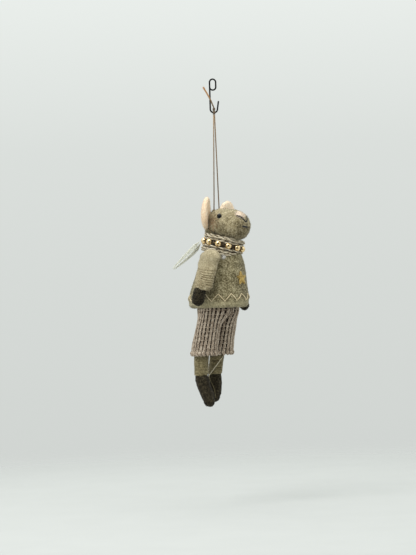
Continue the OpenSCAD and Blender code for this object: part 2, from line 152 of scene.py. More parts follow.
def tubes(paths, radii, sides=6, hint=None, ply=0, pitch=2.0, depth=0.16, tone=0.5):
    """Closed tubes along many paths of the same number of points, as (points, faces, tone)."""
    paths = np.asarray(paths, float)
    count, steps, _ = paths.shape
    radii = np.broadcast_to(np.asarray(radii, float), (count, steps))
    tangent = unit(np.gradient(paths, axis=1))
    if hint is None:
        chord = np.abs(unit(paths[:, -1] - paths[:, 0] + 1e-9))
        hint = np.eye(3)[np.argmin(chord, axis=1)]
    hint = np.broadcast_to(np.asarray(hint, float).reshape(-1, 1, 3), (count, 1, 3))
    u = unit(np.cross(tangent, hint))
    v = np.cross(tangent, u)
    angle = 2 * np.pi * np.arange(sides) / sides
    ring = np.cos(angle)[:, None] * u[:, :, None] + np.sin(angle)[:, None] * v[:, :, None]
    wide = np.repeat(radii[:, :, None], sides, axis=2)
    if ply:
        step = np.linalg.norm(np.diff(paths, axis=1), axis=2)
        along = np.concatenate([np.zeros((count, 1)), np.cumsum(step, axis=1)], axis=1)
        wide = wide * (1 + depth * np.cos(ply * (angle - 2 * np.pi * along[:, :, None] / pitch)))
    points = (paths[:, :, None] + wide[..., None] * ring).reshape(-1, 3)
    start = np.arange(count)[:, None] * steps * sides
    walls = (start[:, None] + cells(steps, sides)[:, OTHER_WAY]).reshape(-1, 4)
    caps = np.concatenate([start + np.arange(sides)[::-1], start + (steps - 1) * sides + np.arange(sides)])
    tone = np.repeat(np.broadcast_to(np.asarray(tone, float), (count, steps)).reshape(-1), sides)
    return points, [walls, caps], tone


def smooth_path(points, steps):
    """Evenly spaced points on a Catmull-Rom curve through the given ones."""
    p = np.asarray(points, float)
    p = np.vstack([2 * p[0] - p[1], p, 2 * p[-1] - p[-2]])
    fine = []
    for i in range(1, len(p) - 2):
        t = np.linspace(0, 1, 24, endpoint=i == len(p) - 3)[:, None]
        a, b, c, d = p[i - 1 : i + 3]
        square, cube = 2 * a - 5 * b + 4 * c - d, 3 * b - a - 3 * c + d
        fine.append(0.5 * (2 * b + (c - a) * t + square * t**2 + cube * t**3))
    fine = np.vstack(fine)
    along = np.concatenate([[0], np.cumsum(np.linalg.norm(np.diff(fine, axis=0), axis=1))])
    want = np.linspace(0, along[-1], steps)
    return np.stack([np.interp(want, along, fine[:, k]) for k in range(3)], axis=1)


def lathe(profile, sides, centre, axis):
    """Closed turned form: profile is [(radius, height)], and its last point joins its first."""
    axis = unit(np.asarray(axis, float))
    side = unit(np.cross(axis, np.eye(3)[np.argmin(np.abs(axis))]))
    other = np.cross(axis, side)
    profile = np.asarray(profile, float)
    steps = len(profile)
    angle = 2 * np.pi * np.arange(sides) / sides
    ring = np.cos(angle)[:, None] * side + np.sin(angle)[:, None] * other
    points = centre + profile[:, 0, None, None] * ring + profile[:, 1, None, None] * axis
    walls = cells(steps, sides, round_rows=True)[:, OTHER_WAY]
    return points.reshape(-1, 3), [walls], np.full(steps * sides, 0.5)


def joined(*parts):
    """Several (points, faces, tone) as one."""
    points, faces, tone, first = [], [], [], 0
    for p, f, t in parts:
        points.append(p)
        faces += [x + first for x in f]
        tone.append(t)
        first += len(p)
    return np.concatenate(points), faces, np.concatenate(tone)


# ---------- meshes ----------

def starts_of(sizes):
    return np.concatenate([[0], np.cumsum(sizes)[:-1]]).astype(np.int32)


def make_mesh(name, points, faces, tone=None):
    mesh = bpy.data.meshes.new(name)
    corners = np.concatenate([f.ravel() for f in faces]).astype(np.int32)
    sizes = np.concatenate([np.full(len(f), f.shape[1]) for f in faces])
    mesh.vertices.add(len(points))
    mesh.vertices.foreach_set("co", (points * MM).astype(np.float32).ravel())
    mesh.loops.add(len(corners))
    mesh.loops.foreach_set("vertex_index", corners)
    mesh.polygons.add(len(sizes))
    mesh.polygons.foreach_set("loop_start", starts_of(sizes))
    mesh.polygons.foreach_set("use_smooth", np.full(len(sizes), True))
    mesh.update(calc_edges=True)
    mesh.validate()
    if tone is not None:
        mesh.attributes.new("tone", "FLOAT", "POINT").data.foreach_set("value", tone.astype(np.float32))
    return mesh


def piece(name, shape, body, material, stands_for=()):
    """A finished piece that rides on a body and stands for CAD nodes. shape is (points, faces, tone)."""
    obj = bpy.data.objects.new(name, make_mesh(name, *shape))
    bpy.context.scene.collection.objects.link(obj)
    obj.data.materials.append(material)
    if body:
        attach(obj, body)
    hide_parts(*stands_for)
    return obj


def read(items, name, width=1, kind=np.int32):
    """One property of all the items of a mesh."""
    found = np.zeros(len(items) * width, kind)
    items.foreach_get(name, found)
    return found


def points_of(mesh):
    return read(mesh.vertices, "co", 3, np.float32).reshape(-1, 3).astype(float) / MM


def node_points(node):
    return points_of(frame["nodes"][node].data)


def box(node):
    lo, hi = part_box(node)
    return np.array(lo) / MM, np.array(hi) / MM


def middle(node):
    lo, hi = box(node)
    return (lo + hi) / 2


def skin(node, voxel, rounds, hull=False):
    """An even closed skin over a CAD node, or over its hull, softened, as (points, faces, normals)."""
    bm = bmesh.new()
    bm.from_mesh(frame["nodes"][node].data)
    bmesh.ops.remove_doubles(bm, verts=bm.verts, dist=0.02 * MM)
    if hull:
        made = bmesh.ops.convex_hull(bm, input=bm.verts)
        inner = [g for g in made["geom_interior"] if isinstance(g, bmesh.types.BMVert)]
        bmesh.ops.delete(bm, geom=inner, context="VERTS")
    mesh = bpy.data.meshes.new("skin")
    bm.to_mesh(mesh)
    bm.free()
    obj = bpy.data.objects.new("skin", mesh)
    bpy.context.scene.collection.objects.link(obj)
    remesh = obj.modifiers.new("remesh", "REMESH")
    remesh.mode = "VOXEL"
    remesh.voxel_size = voxel * MM
    soften = obj.modifiers.new("soften", "SMOOTH")
    soften.factor = 0.5
    soften.iterations = rounds
    evaluated = obj.evaluated_get(bpy.context.evaluated_depsgraph_get())
    made = evaluated.to_mesh()
    points = points_of(made)
    corners = read(made.loops, "vertex_index")
    sizes = read(made.polygons, "loop_total")
    evaluated.to_mesh_clear()
    bpy.data.objects.remove(obj)
    starts = starts_of(sizes)
    faces = [corners[starts[sizes == n][:, None] + np.arange(n)] for n in (4, 3) if n in sizes]
    return points, faces, normals_of(points, faces)


def lumpy(node, voxel, rounds, *lumps, hull=False, swell=0.0):
    """The skin of a CAD node with lumps of noise, each (height, size, seed), and swollen or shrunk."""
    points, faces, normals = skin(node, voxel, rounds, hull)
    return points + (waves(points, *lumps) + swell)[:, None] * normals, faces, normals


def face_normals(points, faces):
    """Area-weighted normal of each face."""
    found = []
    for f in faces:
        last = f.shape[1] - 1
        far = 2 if f.shape[1] > 3 else last
        found.append(np.cross(points[f[:, far]] - points[f[:, 0]], points[f[:, last]] - points[f[:, 1]]) / 2)
    return found


def normals_of(points, faces):
    total = np.zeros_like(points)
    for f, n in zip(faces, face_normals(points, faces)):
        for k in range(f.shape[1]):
            np.add.at(total, f[:, k], n)
    return unit(total)


def surface_tree(points, faces):
    polygons = [tuple(p) for f in faces for p in f.tolist()]
    return BVHTree.FromPolygons(points.tolist(), polygons)


def onto(tree, points, lift=0.0):
    """The nearest points of a surface, lifted along its normal."""
    found = []
    for p in np.asarray(points, float):
        place, normal, _, _ = tree.find_nearest(Vector(p))
        found.append(np.array(place) + lift * np.array(normal))
    return np.array(found)


def seen(tree, across, height):
    """The point of a surface that is seen from the camera's side, at a distance across and a height."""
    hit = tree.ray_cast(Vector(across * ACROSS + height * UP + OUTSIDE * FRONT), Vector(-FRONT))[0]
    return None if hit is None else np.array(hit)


# where a fibre bends along its length, and how thick it is there
FIBRE_BENDS = {2: ((0, 0.5, 1.0), (1, 0.75, 0.2)), 3: ((0, 0.3, 0.65, 1.0), (1, 0.85, 0.6, 0.2))}


def fibres(points, faces, count, length, thick, seed, rise=0.6, tone=(0.3, 0.9), keep=None, bends=3):
    """Fine tapered fibres on a surface, each a closed tube; length and thick are in millimetres.

    rise is how upright they are, from 0 to 1, and keep gives how likely one is at each place.
    """
    steps, taper = FIBRE_BENDS[bends]
    rng = np.random.default_rng(seed)
    quads = faces[0]
    normal = face_normals(points, [quads])[0]
    area = np.linalg.norm(normal, axis=1)
    if keep is not None:
        area = area * keep(points[quads[:, 0]])
    chosen = rng.choice(len(quads), count, p=area / area.sum())
    mix = rng.dirichlet(np.ones(4), count)
    root = (points[quads[chosen]] * mix[..., None]).sum(axis=1)
    n = unit(normal[chosen])
    lean = unit(np.cross(n, rng.normal(size=(count, 3))))
    curl = unit(np.cross(n, rng.normal(size=(count, 3))))
    size = length * rng.uniform(0.35, 1.0, (count, 1))
    share = rise * rng.uniform(0.3, 1.0, (count, 1))
    way = unit(share * n + (1 - share) * lean)
    bend = 0.45 * (curl - 0.5 * n)
    paths = np.stack([root - 0.1 * n + size * (t * way + t * t * bend) for t in steps], axis=1)
    tones = np.repeat(rng.uniform(*tone, (count, 1)), len(steps), axis=1)
    return tubes(paths, thick * np.array(taper), sides=3, tone=tones)


def islands(node):
    """The two ends of each separate solid in a node, along its longest direction."""
    bm = bmesh.new()
    bm.from_mesh(frame["nodes"][node].data)
    bmesh.ops.remove_doubles(bm, verts=bm.verts, dist=0.01 * MM)
    bm.verts.index_update()
    left, found = set(bm.verts), []
    while left:
        front, group = [left.pop()], []
        while front:
            v = front.pop()
            group.append(v)
            for e in v.link_edges:
                w = e.other_vert(v)
                if w in left:
                    left.remove(w)
                    front.append(w)
        p = np.array([v.co for v in sorted(group, key=lambda v: v.index)]) / MM
        centre = (p.min(axis=0) + p.max(axis=0)) / 2
        axis = np.linalg.svd(p - p.mean(axis=0))[2][0]
        axis = axis * np.sign(axis[np.argmax(np.abs(axis))])
        t = (p - centre) @ axis
        found.append((centre + t.min() * axis, centre + t.max() * axis))
    bm.free()
    return sorted(found, key=lambda ends: tuple(np.round(ends[0], 3)))


# ---------- materials ----------

def srgb(r, g, b):
    """Linear colour of an 8-bit display colour."""
    c = np.array([r, g, b]) / 255
    return (*np.where(c <= 0.04045, c / 12.92, ((c + 0.055) / 1.055) ** 2.4), 1.0)


def grey(value):
    return (value, value, value, 1)


BLACK, WHITE = grey(0), grey(1)


class Nodes:
    """A new node material with object coordinates ready."""

    def __init__(self, name):
        self.material = bpy.data.materials.new(name)
        self.material.use_nodes = True
        self.tree = self.material.node_tree
        self.shader = self.tree.nodes["Principled BSDF"]
        self.place = self.add("ShaderNodeTexCoord").outputs["Object"]

    def add(self, kind, **values):
        node = self.tree.nodes.new(kind)
        for key, value in values.items():
            setattr(node, key, value)
        return node

    def link(self, a, b):
        self.tree.links.new(a, b)

    def noise(self, size, detail=3.0, rough=0.55, stretch=None):
        node = self.add("ShaderNodeTexNoise")
        node.inputs["Scale"].default_value = 1 / (size * MM)
        node.inputs["Detail"].default_value = detail
        node.inputs["Roughness"].default_value = rough
        place = self.place
        if stretch:
            mapping = self.add("ShaderNodeMapping")
            mapping.inputs["Scale"].default_value = stretch
            self.link(place, mapping.inputs["Vector"])
            place = mapping.outputs["Vector"]
        self.link(place, node.inputs["Vector"])
        return node.outputs["Fac"]

    def ramp(self, value, *stops):
        node = self.add("ShaderNodeValToRGB")
        elements = node.color_ramp.elements
        while len(elements) < len(stops):
            elements.new(0.5)
        for element, (at, colour) in zip(elements, stops):
            element.position = at
            element.color = colour
        self.link(value, node.inputs["Fac"])
        return node.outputs["Color"]

    def mix(self, share, a, b, blend="MIX"):
        node = self.add("ShaderNodeMix", data_type="RGBA", blend_type=blend)
        for socket, value in ((node.inputs[0], share), (node.inputs[6], a), (node.inputs[7], b)):
            if isinstance(value, bpy.types.NodeSocket):
                self.link(value, socket)
            else:
                socket.default_value = value
        return node.outputs[2]

    def blend(self, share, a, b):
        node = self.add("ShaderNodeMix", data_type="FLOAT")
        node.inputs[0].default_value = share
        self.link(a, node.inputs[2])
        self.link(b, node.inputs[3])
        return node.outputs[0]

    def spread(self, value, low, high, **settings):
        """The value from low to high as 0 to 1."""
        node = self.add("ShaderNodeMapRange", **settings)
        node.inputs["From Min"].default_value = low
        node.inputs["From Max"].default_value = high
        self.link(value, node.inputs["Value"])
        return node.outputs["Result"]

    def tone(self):
        """How light or dark the mesh says it is here, 0.5 for neither."""
        return self.add("ShaderNodeAttribute", attribute_name="tone").outputs["Fac"]

    def surface_mix(self, share, shader):
        """The material's own shader mixed with another one."""
        mixed = self.add("ShaderNodeMixShader")
        if isinstance(share, bpy.types.NodeSocket):
            self.link(share, mixed.inputs[0])
        else:
            mixed.inputs[0].default_value = share
        self.link(self.shader.outputs[0], mixed.inputs[1])
        self.link(shader.outputs[0], mixed.inputs[2])
        self.link(mixed.outputs[0], self.tree.nodes["Material Output"].inputs["Surface"])

    def bump(self, height, distance, strength=1.0, before=None):
        node = self.add("ShaderNodeBump")
        node.inputs["Distance"].default_value = distance * MM
        node.inputs["Strength"].default_value = strength
        self.link(height, node.inputs["Height"])
        if before is not None:
            self.link(before, node.inputs["Normal"])
        return node.outputs["Normal"]

    def finish(self, colour, rough, normal=None, **sockets):
        self.link(colour, self.shader.inputs["Base Color"])
        if isinstance(rough, bpy.types.NodeSocket):
            self.link(rough, self.shader.inputs["Roughness"])
        else:
            self.shader.inputs["Roughness"].default_value = rough
        if normal is not None:
            self.link(normal, self.shader.inputs["Normal"])
        for key, value in sockets.items():
            self.shader.inputs[key.replace("_", " ")].default_value = value
        return self.material


def wool(name, deep, middle_tone, light, patch=4.0, curl=1.2, grain=0.5, spread=0.115, sheen=0.15, rust=None):
    """Fibrous wool: broad and small mottling, fine mixed fibres, and lighter or darker by the mesh's own
    tone, which some pieces use for painted light and shade.

    patch, curl and grain are sizes in millimetres. A tone over 1.2 turns to the rust colour.
    """
    n = Nodes(name)
    deep, middle_tone, light = [srgb(*colour) for colour in (deep, middle_tone, light)]
    value = n.blend(0.72, n.noise(patch, 3.0, 0.6), n.noise(curl, 3.0, 0.75))
    colour = n.ramp(value, (0.5 - spread, deep), (0.5, middle_tone), (0.5 + spread, light))
    fine = n.noise(grain, 2.0, 0.7)
    colour = n.mix(n.ramp(fine, (0.56, BLACK), (0.66, grey(0.55))), colour, light)
    colour = n.mix(n.ramp(fine, (0.34, grey(0.6)), (0.44, BLACK)), colour, deep)
    tone = n.tone()
    dark = n.ramp(tone, (0.0, (0.12, 0.1, 0.085, 1)), (0.5, WHITE), (1.0, WHITE))
    pale = n.ramp(tone, (0.5, BLACK), (1.0, grey(0.6)))
    colour = n.mix(1.0, colour, dark, "MULTIPLY")
    colour = n.mix(pale, colour, light)
    if rust:
        colour = n.mix(n.spread(tone, 1.2, 1.6), colour, srgb(*rust))
    normal = n.bump(n.noise(grain * 0.8, 3.0, 0.7), 0.3)
    return n.finish(colour, 0.95, normal, Sheen_Weight=sheen, Sheen_Roughness=0.5, Specular_IOR_Level=0.12)


def thread_like(name, dark, light):
    """Thread or yarn whose strands run up and down. Tones over 0.5 make it up to 2.2 times lighter."""
    n = Nodes(name)
    strands = n.noise(0.5, 2.0, 0.6, (1, 1, 0.35))
    colour = n.ramp(strands, (0.3, srgb(*dark)), (0.7, srgb(*light)))
    tone = n.ramp(n.tone(), (0.0, (0.1, 0.08, 0.06, 1)), (0.5, WHITE), (1.0, grey(2.2)))
    colour = n.mix(1.0, colour, tone, "MULTIPLY")
    return n.finish(colour, 0.6, n.bump(strands, 0.06), Sheen_Weight=0.2, Specular_IOR_Level=0.3)


def tail_thread(name):
    """Thread that fades from olive brown at the knot to a bleached orange tan at its cut ends."""
    n = Nodes(name)
    strands = n.noise(0.5, 2.0, 0.6)
    colour = n.ramp(n.tone(), (0.0, srgb(96, 78, 52)), (0.5, srgb(112, 88, 60)), (0.75, srgb(206, 150, 98)))
    colour = n.mix(0.25, colour, n.ramp(strands, (0.3, srgb(110, 84, 54)), (0.7, srgb(225, 185, 135))))
    return n.finish(colour, 0.7, n.bump(strands, 0.06), Sheen_Weight=0.2, Specular_IOR_Level=0.3)


def lacquered_wire(name):
    n = Nodes(name)
    worn = n.noise(3.0, 4.0, 0.6)
    colour = n.ramp(worn, (0.35, srgb(8, 7, 6)), (0.6, srgb(15, 13, 12)), (0.8, srgb(36, 31, 27)))
    rough = n.ramp(n.noise(1.0), (0.3, grey(0.42)), (0.7, grey(0.6)))
    return n.finish(colour, rough, n.bump(n.noise(0.7), 0.03), Specular_IOR_Level=0.12)


def bare_wire(name):
    n = Nodes(name)
    drawn = n.noise(0.3, 2.0, 0.5, (1, 1, 0.1))
    colour = n.ramp(drawn, (0.3, srgb(140, 138, 134)), (0.7, srgb(190, 188, 184)))
    return n.finish(colour, 0.35, n.bump(drawn, 0.02), Metallic=1.0)


def bead_gold(name):
    n = Nodes(name)
    plate = n.noise(1.2, 3.0, 0.5)
    colour = n.ramp(plate, (0.35, srgb(232, 196, 138)), (0.65, srgb(252, 230, 186)))
    # Tone 0 darkens the gold: painted shade inside the bead holes.
    tone = n.ramp(n.tone(), (0.0, (0.05, 0.03, 0.02, 1)), (0.5, WHITE))
    colour = n.mix(1.0, colour, tone, "MULTIPLY")
    rough = n.ramp(n.noise(0.5), (0.3, grey(0.12)), (0.7, grey(0.22)))
    return n.finish(colour, rough, n.bump(plate, 0.02), Metallic=1.0)


def glass_black(name):
    n = Nodes(name)
    colour = n.ramp(n.noise(0.8), (0.3, srgb(5, 5, 5)), (0.7, srgb(14, 13, 12)))
    return n.finish(colour, 0.08, n.bump(n.noise(0.5), 0.01), Specular_IOR_Level=0.35)


def satin_tape(name):
    """White woven tape that lets some light through."""
    n = Nodes(name)
    weave = n.noise(0.18, 1.0, 0.5, (1, 1, 4))
    slub = n.noise(2.5, 3.0, 0.6)
    colour = n.ramp(slub, (0.3, srgb(240, 240, 232)), (0.7, srgb(252, 252, 248)))
    n.finish(colour, 0.42, n.bump(weave, 0.03), Sheen_Weight=0.3, Anisotropic=0.4, Specular_IOR_Level=0.5)
    through = n.add("ShaderNodeBsdfTranslucent")
    n.link(colour, through.inputs["Color"])
    n.surface_mix(0.45, through)
    return n.material


WOOL = wool("mouse_wool", (88, 77, 53), (142, 129, 96), (196, 184, 154), patch=4.5, curl=1.15,
            rust=(150, 92, 44))
SWEATER = wool("sweater_felt", (72, 63, 40), (126, 116, 86), (178, 168, 136), patch=4.0, curl=1.05,
               spread=0.1)
PEACH = wool("peach_felt", (228, 194, 158), (242, 214, 180), (251, 236, 214), patch=5.0, grain=0.4)
NOSE = wool("nose_felt", (212, 188, 162), (230, 210, 188), (244, 232, 216), patch=3.0, grain=0.4)
MUSTARD = wool("mustard_felt", (128, 100, 44), (170, 141, 76), (200, 176, 112), patch=2.0, curl=0.9)
SLEEVE = wool("sleeve_yarn", (116, 102, 74), (152, 138, 107), (192, 180, 150), patch=4.0, curl=1.0)
LEG = wool("leg_yarn", (88, 78, 52), (122, 111, 80), (156, 144, 110), patch=3.0,
           rust=(226, 216, 190))
DARK = wool("dark_felt", (16, 13, 7), (38, 32, 21), (84, 76, 58), patch=2.2, curl=0.9, grain=0.6,
            sheen=0.06)
KNIT = wool("shorts_knit", (116, 98, 82), (162, 144, 125), (206, 192, 174), patch=3.0, grain=0.35)
CREAM = wool("cream_yarn", (126, 110, 84), (182, 167, 140), (232, 222, 200), patch=2.5, grain=0.35)
BROWN = wool("brown_yarn", (34, 26, 18), (66, 54, 38), (104, 88, 64), patch=2.0)
THREAD = thread_like("hanging_thread", (92, 74, 56), (138, 118, 96))
TAIL = tail_thread("thread_ends")
BLACK_THREAD = thread_like("black_thread", (16, 14, 14), (44, 40, 38))
GOLD_THREAD = thread_like("gold_thread", (176, 156, 116), (224, 210, 176))
FLUFF = thread_like("white_fluff", (216, 212, 206), (238, 236, 232))
HOOK_WIRE = lacquered_wire("hook_lacquer")
CORE_WIRE = bare_wire("core_wire")
GOLD = bead_gold("bead_gold")
GLASS = glass_black("eye_glass")
SATIN = satin_tape("label_satin")


# ---------- thread ----------

THREAD_R = 0.42
ENTRY = 6               # the point of the route where a strand enters the crown


def loop_route():
    """The doubled thread's route as the CAD has it, in millimetres."""
    strand_gap, entry, bar_z, top_z = 0.5, 2.84, -96.0, -24.47
    hitch = np.array(JOINTS["hook_swing"]["pos_m"]) / MM
    side = [
        (strand_gap, top_z), (0.9, -36), (1.3, -48), (1.7, -60), (2.1, -72), (2.5, -84),
        (entry, -91), (entry, -94.6), (entry - 0.2, -95.4), (entry - 0.7, -95.9),
        (entry - 1.3, bar_z), (0.6, bar_z),
    ]
    route = [(-x, z) for x, z in side] + [(x, z) for x, z in reversed(side)]
    points = []
    for x, z in route:
        t = (z - bar_z) / (top_z - bar_z)
        points.append((x + t * hitch[0], t * hitch[1], z))
    return np.array(points)


def make_thread():
    """The doubled thread, paler towards the hook. It bends where it comes near the crown."""
    route = smooth_path(loop_route(), 620)
    tone = np.interp(route[:, 2], [-80, -40, -26], [0.45, 0.7, 1.0])
    shape = tubes([route], THREAD_R, sides=12, hint=[0, 1, 0], ply=2, pitch=1.7, depth=0.14,
                  tone=tone[None, :])
    loop = piece("hanging_thread", shape, None, THREAD, ["thread_loop"])
    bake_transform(loop)


make_thread()


def make_hitch():
    """Two turns round the hook's bend, and a small knot above them."""
    hitch = np.array(JOINTS["hook_swing"]["pos_m"]) / MM
    lo, hi = box("thread_turn")
    ring_r = (hi[2] - lo[2]) / 2 - THREAD_R
    angle = np.linspace(0, 2 * np.pi, 60)
    turns = []
    for shift in (-THREAD_R, THREAD_R):
        turns.append([hitch + ring_r * (math.cos(a) * UP + math.sin(a) * FRONT)
                      + (shift + 0.1 * math.sin(a)) * ACROSS for a in angle])
    knot = middle("thread_knot")
    wrap = np.linspace(0, 5 * np.pi, 90)
    coil_r = 0.62
    coil = [knot + coil_r * (math.cos(a) * ACROSS + math.sin(a) * FRONT) + (coil_r - 0.085 * a) * UP
            for a in wrap]
    over = [knot + 0.75 * (math.cos(a) * UP + 0.75 * math.sin(a) * (ACROSS + 0.4 * FRONT)) for a in angle]
    yarn = dict(sides=10, ply=2, pitch=1.7)
    shape = joined(
        tubes(turns, THREAD_R * 0.92, hint=ACROSS, tone=0.35, **yarn),
        tubes([coil], THREAD_R * 0.85, hint=UP, tone=0.3, **yarn),
        tubes([over], THREAD_R * 0.8, hint=FRONT - 0.4 * ACROSS, tone=0.4, **yarn),
    )
    piece("thread_hitch", shape, "hanger", THREAD, ["thread_turn", "thread_knot"])


def make_tails():
    """The two cut tails, drawn a little shorter than the CAD has them, with frayed ends."""
    cut = 0.85
    steps = 70
    fray_count = 26
    rng = np.random.default_rng(11)
    t = np.linspace(0, 1, steps)[:, None]
    bow = 0.5 * np.sin(np.pi * t) * ACROSS + 0.35 * np.sin(2 * np.pi * t) * FRONT
    tails, frays = [], []
    for a, b in islands("thread_tails"):
        foot, tip = (a, b) if a[2] < b[2] else (b, a)
        tails.append(foot + cut * (tip - foot) * t + bow)
    for path in tails:
        way = unit(path[-1] - path[-6])
        for _ in range(fray_count):
            drift = unit(rng.normal(size=3) + 2.2 * way)
            root = path[-4] + 0.25 * rng.normal(size=3)
            frays.append([root + ahead * way + aside * drift
                          for ahead, aside in ((0, 0), (0.5, 0), (0.8, 0.5), (1.1, 1.0))])
    radii = np.interp(t[:, 0], [0, 0.6, 1], [0.46, 0.52, 0.56])
    shape = joined(
        tubes(tails, radii, sides=10, hint=FRONT, ply=2, pitch=2.2, depth=0.2,
              tone=np.clip(np.linspace(0.1, 1.1, steps), 0, 1)),
        tubes(frays, [0.06, 0.06, 0.05, 0.02], sides=3, tone=0.95),
    )
    piece("thread_tail_pair", shape, "hanger", TAIL, ["thread_tails"])


make_hitch()
make_tails()


# ---------- head ----------

def make_head():
    """The felted head: lighter on top, which is painted light from above, dark where a strand enters, which
    is painted shade in the pit there, and rusty in front of the near ear.
    """
    points, faces, _ = lumpy("head", 0.5, 8, (0.3, 6, 3), (0.2, 2.4, 5), (0.1, 1.0, 7), hull=True)
    lo, hi = box("head")
    height = (points[:, 2] - lo[2]) / (hi[2] - lo[2])
    # Painted light: the tone rises towards the top of the head.
    tone = 0.22 + 0.5 * np.clip(height, 0, 1) ** 1.4
    tone = tone + 0.15 * noise(points, 3.6, 21) + 0.12 * noise(points, 1.5, 22)
    tone = tone + 0.15 * bell(away(points, middle("nose_pad")), 6)
    route = loop_route()
    entries = [route[ENTRY], route[-1 - ENTRY]]
    # Painted shade: a dark patch where each strand goes into the crown.
    for entry in entries:
        tone = tone - 0.5 * bell(away(points, entry), 0.9)
    tone = np.clip(tone, 0.05, 0.98)
    ear = seen(surface_tree(points, faces), -3.4, -99.5)
    down = fibres(points, faces, 4600, 1.6, 0.045, 31, rise=0.4, tone=(0.15, 0.95))
    rusty = fibres(points, faces, 900, 2.6, 0.085, 32, rise=0.2, tone=(1.25, 1.6),
                   keep=lambda p: bell(away(p, ear), 4.4))
    tuft = fibres(points, faces, 46, 2.6, 0.09, 33, rise=0.8, tone=(0.5, 1.35),
                  keep=lambda p: bell(away(p, entries[0]), 0.8))
    fuzz = fibres(points, faces, 2200, 1.5, 0.028, 34, rise=1.0, tone=(0.6, 0.98))
    shape = joined((points, faces, tone), down, fuzz, rusty, tuft)
    piece("felt_head", shape, "mouse", WOOL, ["head"])
    return surface_tree(points, faces)


HEAD_TREE = make_head()


def make_ears():
    for side, seed, paler in (("right", 41, 0.0), ("left", 42, 0.45)):
        node = f"{side}_ear"
        points, faces, normals = skin(node, 0.34, 10, hull=True)
        lo, hi = box(node)
        from_middle = np.linalg.norm((points - middle(node))[:, (0, 2)] / ((hi - lo)[[0, 2]] / 2), axis=1)
        dish = 0.8 * np.clip(1 - from_middle ** 2, 0, 1) ** 2 * np.clip(-normals[:, 1], 0, 1)
        points = points + (waves(points, (0.12, 3, seed), (0.05, 0.8, seed + 1)) - dish)[:, None] * normals
        rim = (points[:, 2] - lo[2]) / (hi[2] - lo[2])
        # Painted light and shade: the left ear is drawn paler all over, and each ear darker in its dish. The
        # tone also rises towards the top of the ear.
        tone = np.clip(0.4 + paler + 0.36 * rim - 0.15 * dish + 0.06 * noise(points, 2, seed + 2), 0.1, 1.0)
        down = fibres(points, faces, 3400, 1.5, 0.04, seed, rise=0.5, tone=(0.5, 0.98))
        piece(f"felt_{node}", joined((points, faces, tone), down), "mouse", PEACH, [node])


make_ears()


def make_nose():
    """The nose patch, felted flush onto the head."""
    points, faces, normals = skin("nose_pad", 0.3, 6, hull=True)
    flush = onto(HEAD_TREE, points, 0.42)
    centre = middle("head")
    proud = away(points, centre) > away(flush, centre)
    points = np.where(proud[:, None], flush, points)
    points = points + (0.1 * noise(points, 1.8, 51))[:, None] * normals
    tone = np.clip(0.56 + 0.1 * noise(points, 1.5, 52), 0, 1)
    down = fibres(points, faces, 2600, 2.4, 0.045, 53, rise=0.22, tone=(0.5, 0.95))
    piece("felt_nose_patch", joined((points, faces, tone), down), "mouse", NOSE, ["nose_pad"])
    return surface_tree(points, faces)


NOSE_TREE = make_nose()


def sew(route, name, node):
    """Two strands of black thread laid over whichever is higher of head and nose patch."""
    steps, lift, near_pad = 60, 0.12, 1.6
    path = smooth_path(route, steps)
    on_head = onto(HEAD_TREE, path, lift)
    on_pad = onto(NOSE_TREE, path, lift)
    centre = middle("head")
    outer = away(on_pad, centre) > away(on_head, centre)
    near = np.linalg.norm(on_pad - path, axis=1) < near_pad
    path = np.where((outer & near)[:, None], on_pad, on_head)
    path = smooth_path(path[::5], steps)
    strands = np.stack([path + 0.2 * s * UP for s in (-1, 1)])
    shape = tubes(strands, 0.36, sides=8, ply=2, pitch=1.3)
    piece(name, shape, "mouse", BLACK_THREAD, [node])


def make_stitches():
    """The V under the nose patch and the mouth, both a little lower on the mouse's left."""
    lo, hi = box("nose_stitch")
    tilt = math.tan(math.radians(7.5))
    centre_x = (lo[0] + hi[0]) / 2
    ends = [np.array([x, hi[1], hi[2] - 1.3 + tilt * (centre_x - x)]) for x in (lo[0] + 0.5, hi[0] - 0.5)]
    tip = np.array([centre_x, lo[1], lo[2] + 0.4])
    halfway = [0.5 * (e + tip) + np.array([0, -0.5, 0.7]) for e in ends]
    sew([ends[0], halfway[0], tip, halfway[1], ends[1]], "nose_stitches", "nose_stitch")
    lo, hi = box("mouth_stitch")
    centre_z = (lo[2] + hi[2]) / 2
    mouth = [(lo[0] + 0.8, hi[1], centre_z + 0.3), ((lo[0] + hi[0]) / 2, lo[1], centre_z - 0.1),
             (hi[0] - 0.8, hi[1], centre_z - 0.3)]
    sew(mouth, "mouth_stitches", "mouth_stitch")


make_stitches()


def make_eyes():
    """Bead eyes: nearly whole balls that face outward, with the pit of the bead's hole."""
    for side, sign in (("right", -1), ("left", 1)):
        node = f"{side}_eye"
        lo, hi = box(node)
        radius = (hi[1] - lo[1]) / 2
        ball = [(math.cos(a), 0.9 * math.sin(a)) for a in np.radians(np.linspace(-86, 74, 22))]
        pit = [(0.2, 0.8), (0.14, 0.55)]
        turned = [(radius * r, radius * z) for r, z in ball + pit]
        profile = [(POLE, -0.92 * radius)] + turned + [(POLE, 0.5 * radius)]
        shape = lathe(profile, 32, (lo + hi) / 2, [sign, -0.1, 0.12])
        piece(f"bead_{node}", shape, "mouse", GLASS, [node])


make_eyes()


# ---------- body ----------

STITCHES = islands("hem_zigzag")


